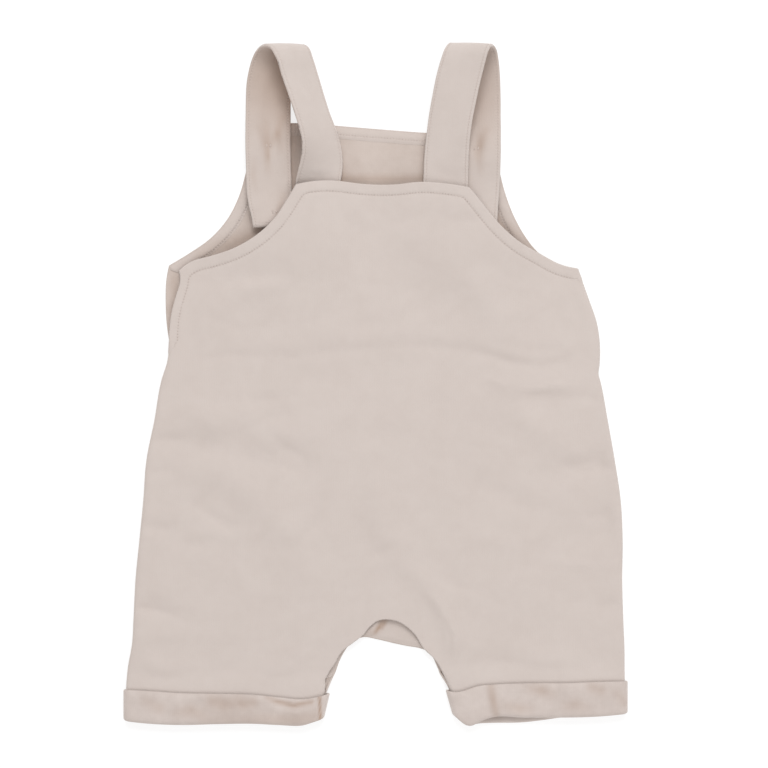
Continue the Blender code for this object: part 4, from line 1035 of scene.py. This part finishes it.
def half_strap(u):
    """Half the thickness of the strap at a distance from its middle line, drawn in along its stitching."""
    edge = STRAP_WIDTH / 2 - abs(u)
    half = STRAP_HALF * math.sqrt(max(0.0, 1 - max(0.0, 1 - edge / STRAP_HALF) ** 2))
    crown = STRAP_CROWN * float(smooth_step((12.0 - abs(u)) / 9.0))
    groove = STRAP_CROWN * math.exp(-((abs(u) - STRAP_STITCH) / 0.55) ** 2)
    return half + crown - groove


def strap_solid(name, strap, surface, shade_painting):
    """Flat tube with rounded, topstitched edges and closed ends."""
    spread = list(STRAP_ACROSS) + [-u for u in STRAP_ACROSS[-2::-1]]
    shells, facts = [], []
    # the outer shell, and the hollow in it, which ends inside the edges' stitching and has its faces turned over
    within = [u for u in spread if abs(u) <= STRAP_STITCH]
    for us, shape in ((spread, half_strap), (within, lambda u: STRAP_HOLLOW)):
        top = [(u, shape(u)) for u in us]
        under = [(u, -shape(u)) for u in us[::-1]]
        if abs(top[0][1]) < 1e-6:
            under = under[1:-1]
        shells.append((top + under, len(top)))
    points, faces = [], []
    base = 0
    for which, (ring, tops) in enumerate(shells):
        grid = np.stack([strap.at(u, v) for u, v in ring], axis=1)
        count, size = grid.shape[:2]
        start = 0 if which == 0 else 1
        for i in range(start, count - 1 - start):
            for j in range(size):
                a, b = base + i * size + j, base + i * size + (j + 1) % size
                quad = (a, b, b + size, a + size)
                faces.append(quad if which == 0 else quad[::-1])
        for i, flip in ((start, False), (count - 1 - start, True)):
            row = base + i * size
            pairs = [(j, (size - j) % size if which == 0 else size - 1 - j) for j in range(tops)]
            for (a, a2), (b, b2) in zip(pairs, pairs[1:]):
                cap = list(dict.fromkeys((row + b, row + a, row + a2, row + b2)))
                cap = cap[::-1] if flip else cap
                faces.append(tuple(cap if which == 0 else cap[::-1]))
        points.append(grid.reshape(-1, 3))
        across = np.tile([STRAP_STITCH - abs(u) for u, v in ring], count)
        # painted shade on the face that lies inside the loop
        painted_shade = np.stack([strap_painted_shade(strap.along, u, shade_painting) if v >= 0 else 0 * strap.along for u, v in ring], axis=1)
        facts.append((across, np.repeat(strap.along, size), painted_shade.ravel()))
        base += count * size
    facts = dict(zip(("stitch_mm", "along_mm", "painted_shade"), map(np.concatenate, zip(*facts))))
    return solid(name, np.vstack(points), faces, [surface], facts=facts, turn_faces=False)


def strap_stitches(strap):
    """Topstitching along both edges, on both faces, and across both ends."""
    groups = []
    for side in (1, -1):
        for u in (STRAP_STITCH, -STRAP_STITCH):
            groups.append(spaced_stitches(strap.at(u, side * half_strap(u)), strap.up * side, strap.along))
        for section in (2, -3):
            across = np.linspace(-STRAP_STITCH, STRAP_STITCH, 15)
            line = np.array([strap.at(u, side * half_strap(u))[section] for u in across])
            out = np.tile(strap.up[section] * side, (len(line), 1))
            groups.append(spaced_stitches(line, out, across - across[0]))
    return groups


def button_thread(strap, spots):
    """Two bars of thread on the strap over each button, where it is sewn through."""
    places, ahead, out = [], [], []
    for x, y in spots:
        lower = strap.along < 0.5 * strap.along[-1]
        section = int(np.argmin(np.where(lower, np.hypot(*(strap.centre[:, :2] - (x, y)).T), 1e9)))
        middle = x - strap.centre[section, 0]
        for u in (middle - 1.4, middle - 0.95, middle + 0.95, middle + 1.4):
            line = strap.at(u, half_strap(u) + 0.12)
            places.append(line[section])
            ahead.append(line[section + 1] - line[section - 1])
            out.append(strap.up[section])
    return np.array(places), np.array(ahead), np.array(out)


LEFT_STRAP_CREASES = (
    # width, then along, across and height or depth; along runs from the buttoned end
    (2.4, ((38, 1, -0.4), (49, -1, -0.9), (57, -0.5, -1), (72, -2.5, -0.5))),
    (1.6, ((46, 4, 0.2), (56, 5, 0.7), (68, 3, 0.2))),
    (1.6, ((44, -6, 0.2), (54, -7, 0.6), (66, -6, 0.2))),
    (3.2, ((4, 3, -0.3), (10, 4, -0.8), (18, 6, -0.3))),
    (2.6, ((70, -7, 0.1), (82, -4, 0.6), (96, -6, 0.2))),
    (4, ((30, 9, 0.4), (44, 4, 0.5))),
    (5, ((60, 8, 0.5), (84, 4, 0.4))),
    (3, ((84, -8, 0.2), (94, -2, 0.6), (104, 2, 0.2))),
    (3.2, ((205, -8, -0.1), (206, -2, -0.3), (206, 5, -0.2))),
    (2, ((210, -7, 0.1), (211, -1, 0.4), (210.5, 6, 0.2))),
    (6, ((140, -4, 0.3), (160, 2, 0.4), (180, -3, 0.3))),
)
RIGHT_STRAP_CREASES = (
    (2.4, ((36, -1, -0.4), (49, 0, -0.8), (57, -0.5, -0.8), (70, -3, -0.3))),
    (3, ((40, -6, 0.3), (50, -7, 0.8), (60, -8, 0.4))),
    (2.2, ((46, 6, 0.2), (54, 7, 0.6), (62, 6, 0.2))),
    (2.6, ((6, -5, -0.3), (13, -2, -0.7), (20, 1, -0.3))),
    (5, ((150, 3, 0.2), (170, -3, 0.35), (190, 2, 0.2))),
    (3.6, ((204, -9, 0.2), (208, 0, 0.4), (212, 9, 0.2))),
)
STRAP_CLOTH = jersey("oat strap", (0.598, 0.526, 0.486), (0.530, 0.456, 0.416), 0.35, stitched=0.32)
LEFT_PAINTED_SHADE = (
    # painted shade on the inside of the loop, where less light gets: width, then along, across and how much of it
    (2, ((36, -0.5, 0.06), (46, -1, 0.20), (58, -0.5, 0.18), (68, -1.5, 0.06))),
    (0.8, ((42, -0.6, 0.04), (46, -0.6, 0.26), (50.5, -0.8, 0.20))),
    (2.2, ((53, 1.5, 0.12), (60, 6, 0.10))),
    (2.2, ((54, -2.5, 0.10), (64, -6, 0.08))),
    (2.4, ((50, 8, 0.06), (60, 6, 0.16), (70, 9, 0.10))),
    (2.2, ((6, 2, 0.06), (14, 6, 0.16), (22, 9, 0.08))),
    (2, ((24, -9, 0.05), (34, -10, 0.12), (44, -9, 0.05))),
)
# painted shade inside the right loop, the same columns
RIGHT_PAINTED_SHADE = (
    (2.4, ((38, 2, 0.06), (50, 1, 0.18), (60, 2, 0.08))),
    (0.8, ((43, -0.8, 0.04), (47, -1, 0.20), (51, -1.1, 0.16))),
    (2.6, ((54, 1.5, 0.16), (64, 5, 0.10))),
    (2.2, ((8, -5, 0.05), (18, -3, 0.14), (28, -6, 0.06))),
)


def strap_painted_shade(along, u, shade_painting):
    """Painted shade on the inside of a loop, where less light gets: more towards the back, at one edge, beside the
    button.
    """
    least, more, start, lean, corner, rows = shade_painting
    deep = least + more * smooth_step((along - start) / 60.0)
    in_corner = smooth_step((u - 9.0) / 5.0) * smooth_step((90.0 - along) / 40.0)
    beside = 0.75 + lean * u / (STRAP_WIDTH / 2) + corner * in_corner
    return deep * beside + creased(along, u, rows)


for label, rows, creases, skew, shade_painting in (
        # skew: rise of the strap's cross lines towards its right edge where it is in the air; then the painted shade
        # for the inside of the loop: least, how much more at the back, from where, at the right edge, in its corner
        ("strap_left", LEFT_STRAP, LEFT_STRAP_CREASES, 0.08, (0.10, 0.40, 40.0, 0.25, 0.35, LEFT_PAINTED_SHADE)),
        ("strap_right", RIGHT_STRAP, RIGHT_STRAP_CREASES, -0.10, (0.04, 0.34, 30.0, -0.25, 0.0, RIGHT_PAINTED_SHADE))):
    strap = Strap(rows, creases, skew)
    item = strap_solid(label + "_cloth", strap, STRAP_CLOTH, shade_painting)
    side = label.split("_")[1]
    marks = button_thread(strap, [BUTTON_SPOTS["button_" + side][:2], BUTTON_SPOTS["spare_button_" + side][:2]])
    stitches = sew(label + "_topstitching", strap_stitches(strap))
    thread = sew(label + "_button_thread", [marks], 2.6, 0.5)
    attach(item, "root")
    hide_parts(label)


# ---- Buttons ----------------------------------------------------------------------------------
# Four small round buttons of beige plastic, each with four holes and a dished face. Each is sewn on its
# strap with thread: two are fastened through the bib, two are spare for a shorter strap.

BUTTON_PROFILE = (
    # radius and height from the dished face over the rim to the back; the face looks down
    (3.2, 0.75), (3.7, 0.55), (4.1, 0.12), (4.5, 0), (4.9, 0.08), (5.25, 0.35), (5.5, 0.85), (5.4, 1.4),
    (5, 1.8), (4.4, 2), (3.2, 2),
)
BUTTON_HOLE_R = 0.55
BUTTON_HOLE_OFF = 1.15  # of each hole from the button's two middle lines
BUTTONHOLE_HALF = 6.8   # half the length of a buttonhole


def button_material():
    """Moulded plastic, satin, with a faint cloud in it."""
    made, shader, nodes = new_material("beige button")
    place = nodes.add("ShaderNodeTexCoord")["Object"]
    cloud = nodes.noise(place, 320.0, Detail=3.0, Distortion=1.2)
    nodes.fill(shader, {"Base Color": nodes.mix(cloud, (0.52, 0.42, 0.34, 1.0), (0.68, 0.59, 0.51, 1.0)),
                        "Roughness": nodes.ranged(cloud, 0.0, 1.0, 0.28, 0.45),
                        "Normal": nodes.bump(nodes.noise(place, 2400.0), 0.12, 0.00005)})
    return made


def circle(x, y, radius, count):
    """Points round a circle."""
    turns = np.linspace(0, 2 * np.pi, count, endpoint=False)
    return [(x + radius * math.cos(turn), y + radius * math.sin(turn)) for turn in turns]


def button(name, x, y, z, surface):
    """Round button with a dished face, a rounded rim and four holes right through."""
    count, small = 40, 14
    loops = [circle(0, 0, BUTTON_PROFILE[0][0], count)]
    loops += [circle(x_off, y_off, BUTTON_HOLE_R, small) for x_off in (-BUTTON_HOLE_OFF, BUTTON_HOLE_OFF)
              for y_off in (-BUTTON_HOLE_OFF, BUTTON_HOLE_OFF)]
    flat, links = [], []
    for loop in loops:
        base = len(flat)
        flat.extend(Vector(place) for place in loop)
        links.extend((base + i, base + j) for i, j in neighbours(len(loop)))
    tris = delaunay_2d_cdt(flat, links, [], 1, 1e-5)[2]
    plan = np.array([tuple(place) for place in flat])
    solid_tris = [tuple(tri) for tri in tris
                  if np.hypot(*(np.abs(plan[list(tri)].mean(axis=0)) - BUTTON_HOLE_OFF)) > BUTTON_HOLE_R * 0.9]
    size = len(plan)
    points = [(*place, BUTTON_PROFILE[0][1]) for place in plan] + [(*place, BUTTON_PROFILE[-1][1]) for place in plan]
    faces = [tri[::-1] for tri in solid_tris] + [tuple(i + size for i in tri) for tri in solid_tris]
    for base in range(count, size, small):
        faces.extend((base + i, base + j, base + j + size, base + i + size) for i, j in neighbours(small))
    rings = [list(range(count))]
    for radius, height in BUTTON_PROFILE[1:-1]:
        rings.append(list(range(len(points), len(points) + count)))
        points.extend((*place, height) for place in circle(0, 0, radius, count))
    rings.append(list(range(size, size + count)))
    for near, far in zip(rings, rings[1:]):
        faces.extend((near[i], near[j], far[j], far[i]) for i, j in neighbours(count))
    return solid(name, np.array(points) + (x, y, z), faces, [surface])


def stitches_below(places, ahead):
    """Stitches on the side that lies down, all running one way."""
    return np.array(places), np.tile(ahead, (len(places), 1)), np.tile((0.0, 0.0, -1.0), (len(places), 1))


BUTTON = button_material()
hole_places = []
for label, (x, y, z) in BUTTON_SPOTS.items():
    item = button(label + "_round", x, y, z, BUTTON)
    bars = [(x, y + side * (BUTTON_HOLE_OFF + off), z + 0.62) for side in (-1, 1) for off in (-0.2, 0.2)]
    bars = sew(label + "_thread", [stitches_below(bars, (1.0, 0.0, 0.0))], 2.7, 0.42)
    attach(item, "root")
    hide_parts(label)
    if z == 0:
        for off in np.arange(-BUTTONHOLE_HALF, BUTTONHOLE_HALF + 0.1, 0.55):
            for side in (-0.75, 0.75):
                spot = np.array([x + off]), np.array([y + side])
                hole_places.append((x + off, y + side, float(front_height(*spot)[0]) - CLOTH / 2 - 0.08))
buttonholes = sew("buttonhole_stitches", [stitches_below(hole_places, (0.0, 1.0, 0.0))], 1.35, 0.46)


# ---- Cuffs ------------------------------------------------------------------------------------
# The end of each leg turned up once to the outside, so the cloth's wrong side shows, with a short
# return inside the leg. They are only pressed, so they stand a little wavy.

CUFF_TOP_Z = 8.15       # middle of its upper wall
CUFF_RETURN = 6.0       # depth of the return inside the leg
CUFF_SOFT = 0.9         # depth over which its upper edge is rounded
SLANT_REACH = 24.0      # its ends slant over this length
CUFF_ACROSS = 96        # sections along each wall
CUFF_TURN = 10          # sections round each end
CUFFS = {
    "cuff_left": {
        "ends": (-161.6, -29.2),
        "round": 0.260,
        "slant": (0, -0.24),
        "rows": (
            # x, top above, bottom above, top below, bottom below, how far the upper wall stands up
            (-161.6, -196, -215.9, -196.5, -215.9, 0),
            (-149, -196.4, -217.4, -197, -217.4, 0.3),
            (-124, -198, -218.6, -198, -218.6, 0.9),
            (-101, -198.4, -218, -198.4, -218, 0.2),
            (-78, -199, -217.8, -199, -217.8, 0.8),
            (-62, -200.6, -218.6, -200, -218.6, 0.1),
            (-46, -201.8, -218.9, -201, -218.9, 0.7),
            (-36, -200.2, -216.6, -200, -216.6, 0.2),
            (-29.2, -198.4, -214.8, -198.4, -214.8, 0),
        ),
        "creases": (
            # width, then x, y and height or depth
            (1.6, ((-69.7, -200.6, -0.2), (-62.5, -203.5, -0.9), (-52.4, -206, -1.1), (-40.8, -203.5, -0.9),
                   (-37.6, -201, -0.3))),
            (2.4, ((-68, -207, 0.3), (-52, -210.5, 0.7), (-40, -208, 0.4))),
            (4.5, ((-128, -214, -0.2), (-112, -207, -0.7), (-100, -202, -0.4))),
            (3.5, ((-110, -213, 0.3), (-96, -209, 0.6), (-84, -211, 0.3))),
            (4, ((-118, -209, -0.6), (-112, -204, -0.6))),
            (4, ((-98, -204, -0.6), (-94, -206, -0.6))),
            (4, ((-84, -202.5, -0.5), (-78, -204, -0.5))),
            (5, ((-140, -204, -0.5), (-134, -210, -0.5))),
            (4, ((-152, -210, -0.4), (-158, -206, -0.4))),
            (1.2, ((-35.8, -199, -1.1), (-35.2, -214.5, -1.1))),
        ),
        # painted shade along the creases and in patches: width, then x, y and how much
        "shade_painting": (
            (4.5, ((-104, -203, 0.21), (-96, -205, 0.24), (-88, -203, 0.16))),
            (4, ((-126, -210, 0.11), (-118, -209, 0.21), (-112, -211, 0.11))),
            (3.4, ((-84, -205, 0.19), (-78, -203.6, 0.21))),
            (1.6, ((-69.7, -200.6, 0.16), (-62.5, -203.3, 0.42), (-52.4, -205.6, 0.45), (-40.8, -203.3, 0.35))),
            (4, ((-146, -203, 0.10), (-138, -207, 0.16))),
            (5, ((-108, -215, 0.10), (-60, -215, 0.19), (-40, -214, 0.19))),
            (0.9, ((-35.8, -200, 0.64), (-35.2, -214.5, 0.64))),
        ),
    },
    "cuff_right": {
        "ends": (44.8, 161.6),
        "round": 0.254,
        "slant": (0.28, 0),
        "rows": (
            # x, top above, bottom above, top below, bottom below, how far the upper wall stands up
            (44.8, -196.4, -212, -196.4, -212.6, 0),
            (53, -197.2, -218.4, -197.2, -218.8, 0.3),
            (60, -195.2, -218.9, -195.4, -219.4, 0.6),
            (66, -193.4, -216.6, -194, -218.6, 0.1),
            (74, -192.6, -213.8, -193.2, -218.2, 0.6),
            (94.8, -191.7, -213.8, -192.6, -217.8, 0.9),
            (108, -191.6, -213.8, -192.4, -216.3, 0.3),
            (122, -191.6, -213.8, -192, -214.4, 0.8),
            (142, -190.8, -213.2, -191.4, -213.6, 0.2),
            (161.6, -190.5, -211.4, -191, -211.4, 0),
        ),
        "creases": (
            (2.6, ((70, -194, -0.8), (73, -214, -0.8))),
            (4, ((76, -195, -0.6), (82, -197, -0.6))),
            (4, ((104, -195, -0.6), (108, -199, -0.6))),
            (4, ((88, -206, -0.6), (96, -208, -0.6))),
            (4, ((138, -194, -0.5), (144, -197, -0.5))),
            (5, ((124, -205, -0.6), (132, -206, -0.6))),
        ),
        # painted shade along the creases and in patches: width, then x, y and how much
        "shade_painting": (
            (2.6, ((73.5, -193, 0.22), (75, -202, 0.32), (77, -212, 0.22))),
            (3.6, ((100, -195, 0.13), (106, -196, 0.26), (112, -198, 0.13))),
            (3.8, ((84, -206, 0.10), (92, -207.6, 0.21), (98, -208, 0.10))),
            (3.4, ((138, -194, 0.18), (144, -196, 0.19))),
            (3.6, ((122, -206, 0.10), (128, -205, 0.19), (134, -207, 0.08))),
            (3, ((154, -198, 0.10), (159, -204, 0.16))),
        ),
    },
}


def cuff(name, ends, slant, rows, creases, shade_painting, surface):
    """Band turned up round a leg: outer wall, bend at the bottom and a short return inside the leg."""
    rows = np.array(rows)
    low, high = FRONT_Z, CUFF_TOP_Z
    radius = (high - low) / 2
    x0, x1 = ends[0] + CLOTH / 2 + radius, ends[1] - CLOTH / 2 - radius
    turns = [(math.sin(math.pi * i / CUFF_TURN), math.cos(math.pi * i / CUFF_TURN)) for i in range(CUFF_TURN)]
    # x, z, the way out in x and z, and 0 below to 1 above, once round the leg
    loop = [(x0 + (x1 - x0) * i / CUFF_ACROSS, low, 0.0, -1.0, 0.0) for i in range(CUFF_ACROSS)]
    loop += [(x1 + radius * s, low + radius * (1 - c), s, -c, (1 - c) / 2) for s, c in turns]
    loop += [(x1 + (x0 - x1) * i / CUFF_ACROSS, high, 0.0, 1.0, 1.0) for i in range(CUFF_ACROSS)]
    loop += [(x0 - radius * s, high - radius * (1 - c), -s, c, (1 + c) / 2) for s, c in turns]
    smooth_rows = smooth_curve(rows, 1.0, measured=1)
    half = CLOTH / 2
    inner = -CUFF_LIFT
    middle = inner / 2
    bend_out, bend_in = half - middle, -middle - half
    grid = []
    for x, z, nx, nz, above in loop:
        def read(column):
            return float(np.interp(x, smooth_rows[:, 0], smooth_rows[:, column]))
        top = read(3) + (read(1) - read(3)) * above
        bottom = read(4) + (read(2) - read(4)) * above
        centre = bottom + bend_out
        wall = [top - CUFF_SOFT + (centre - top + CUFF_SOFT) * part for part in np.linspace(0.12, 0.95, 9)]
        profile = [(half - 0.35, top), (half - 0.08, top - 0.35), (half, top - CUFF_SOFT)]
        profile += [(half, y) for y in wall] + [(half, centre)]
        profile += [(middle + bend_out * math.cos(turn), centre - bend_out * math.sin(turn))
                    for turn in np.radians(np.arange(22.5, 180.0, 22.5))]
        profile += [(inner - half, centre), (inner - half, bottom + CUFF_RETURN - 0.5),
                    (inner, bottom + CUFF_RETURN + 0.25), (inner + half, bottom + CUFF_RETURN - 0.5),
                    (inner + half, centre), (middle, centre - bend_in), (-half, centre)]
        profile += [(-half, y) for y in wall[::-1]]
        profile += [(-half, top - CUFF_SOFT), (-half + 0.08, top - 0.35), (-half + 0.35, top)]
        lean = (slant[0] * float(smooth_step((ends[0] + SLANT_REACH - x) / SLANT_REACH))
                + slant[1] * float(smooth_step((x - ends[1] + SLANT_REACH) / SLANT_REACH)))
        section = []
        for out, y in profile:
            wave = 0.0
            if out > -half - 0.01 and above > 0:            # on the upper wall, not on the return
                spot = np.array([x]), np.array([y])
                free = float(smooth_step((top - y) / 3.0) * smooth_step((y - bottom) / 3.0))
                uneven = sum(fold(*spot, row) for row in creases) + 0.35 + 0.30 * undulation(*spot, 11.0, 4.0)
                wave = (read(5) + float(uneven[0])) * above * free
            section.append([x + nx * out + lean * (top - y), y, z + nz * (out + wave)])
        grid.append(section)
    grid = np.array(grid)
    count, ring = grid.shape[:2]
    faces = []
    for i, j in neighbours(count):
        faces.extend((i * ring + k, i * ring + m, j * ring + m, j * ring + k) for k, m in neighbours(ring))
    # painted shade along the cuff's creases and in patches
    painted_shade = sum(fold(*grid.reshape(-1, 3).T[:2], row) for row in shade_painting)
    return solid(name, grid.reshape(-1, 3), faces, [surface], facts={"painted_shade": painted_shade.clip(-0.5, 0.9)})


CUFF_CLOTH = jersey("oat cuff", (0.606, 0.530, 0.490), (0.470, 0.396, 0.358), 0.50, 0.0014, 1.3, stitched=0.0)
for label, sizes in CUFFS.items():
    item = cuff(label + "_cloth", sizes["ends"], sizes["slant"], sizes["rows"], sizes["creases"], sizes["shade_painting"],
                CUFF_CLOTH)
    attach(item, "root")
    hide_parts(label)


# ---- Floor, light and camera --------------------------------------------------------------------
# A pale surface under a soft room light, with a large lamp beyond the straps' end and a weaker one beyond
# the cuffs, and the camera straight above the garment.

FLOOR_HALF = 4.0        # metres, as all sizes in this section
FLOOR_Z = -0.0002
LENS = 85.0             # focal length and sensor in millimetres
SENSOR = 36.0
SEEN = 0.4940           # side of the square that the camera sees on the floor

floor_paint, shader, nodes = new_material("pale floor")
nodes.fill(shader, {"Base Color": (0.34, 0.34, 0.34, 1.0), "Roughness": 0.9,
                    "Emission Color": (1.0, 1.0, 1.0, 1.0), "Emission Strength": 0.70})
floor_mesh = bpy.data.meshes.new("floor")
floor_mesh.from_pydata([(x * FLOOR_HALF, y * FLOOR_HALF, FLOOR_Z) for x, y in ((-1, -1), (1, -1), (1, 1), (-1, 1))],
                       [], [(0, 1, 2, 3)])
floor_mesh.materials.append(floor_paint)
floor = placed("floor", floor_mesh)

world = bpy.data.worlds.new("soft room")
bpy.context.scene.world = world
world.use_nodes = True
room = world.node_tree.nodes["Background"].inputs
room["Color"].default_value = (1.0, 0.985, 0.98, 1.0)
room["Strength"].default_value = 0.636

for label, place, aim, size, power in (
        ("top light", (0.05, 1.6, 1.8), (0.0, 0.0, 0.0), 1.2, 29.5),
        ("foot light", (0.7, -1.3, 1.6), (0.0, -0.1, 0.0), 1.4, 11.0)):
    data = bpy.data.lights.new(label, "AREA")
    data.size = size
    data.energy = power
    data.color = (0.965, 0.985, 1.0)
    lamp = placed(label, data)
    lamp.location = place
    lamp.rotation_euler = (Vector(aim) - Vector(place)).to_track_quat("-Z", "Y").to_euler()

lens = bpy.data.cameras.new("camera")
lens.lens = LENS
lens.sensor_width = SENSOR
camera = placed("camera", lens)
camera.location = (0.0054, 0.0006, SEEN * LENS / SENSOR)
bpy.context.scene.camera = camera
bpy.context.scene.view_settings.view_transform = "Standard"
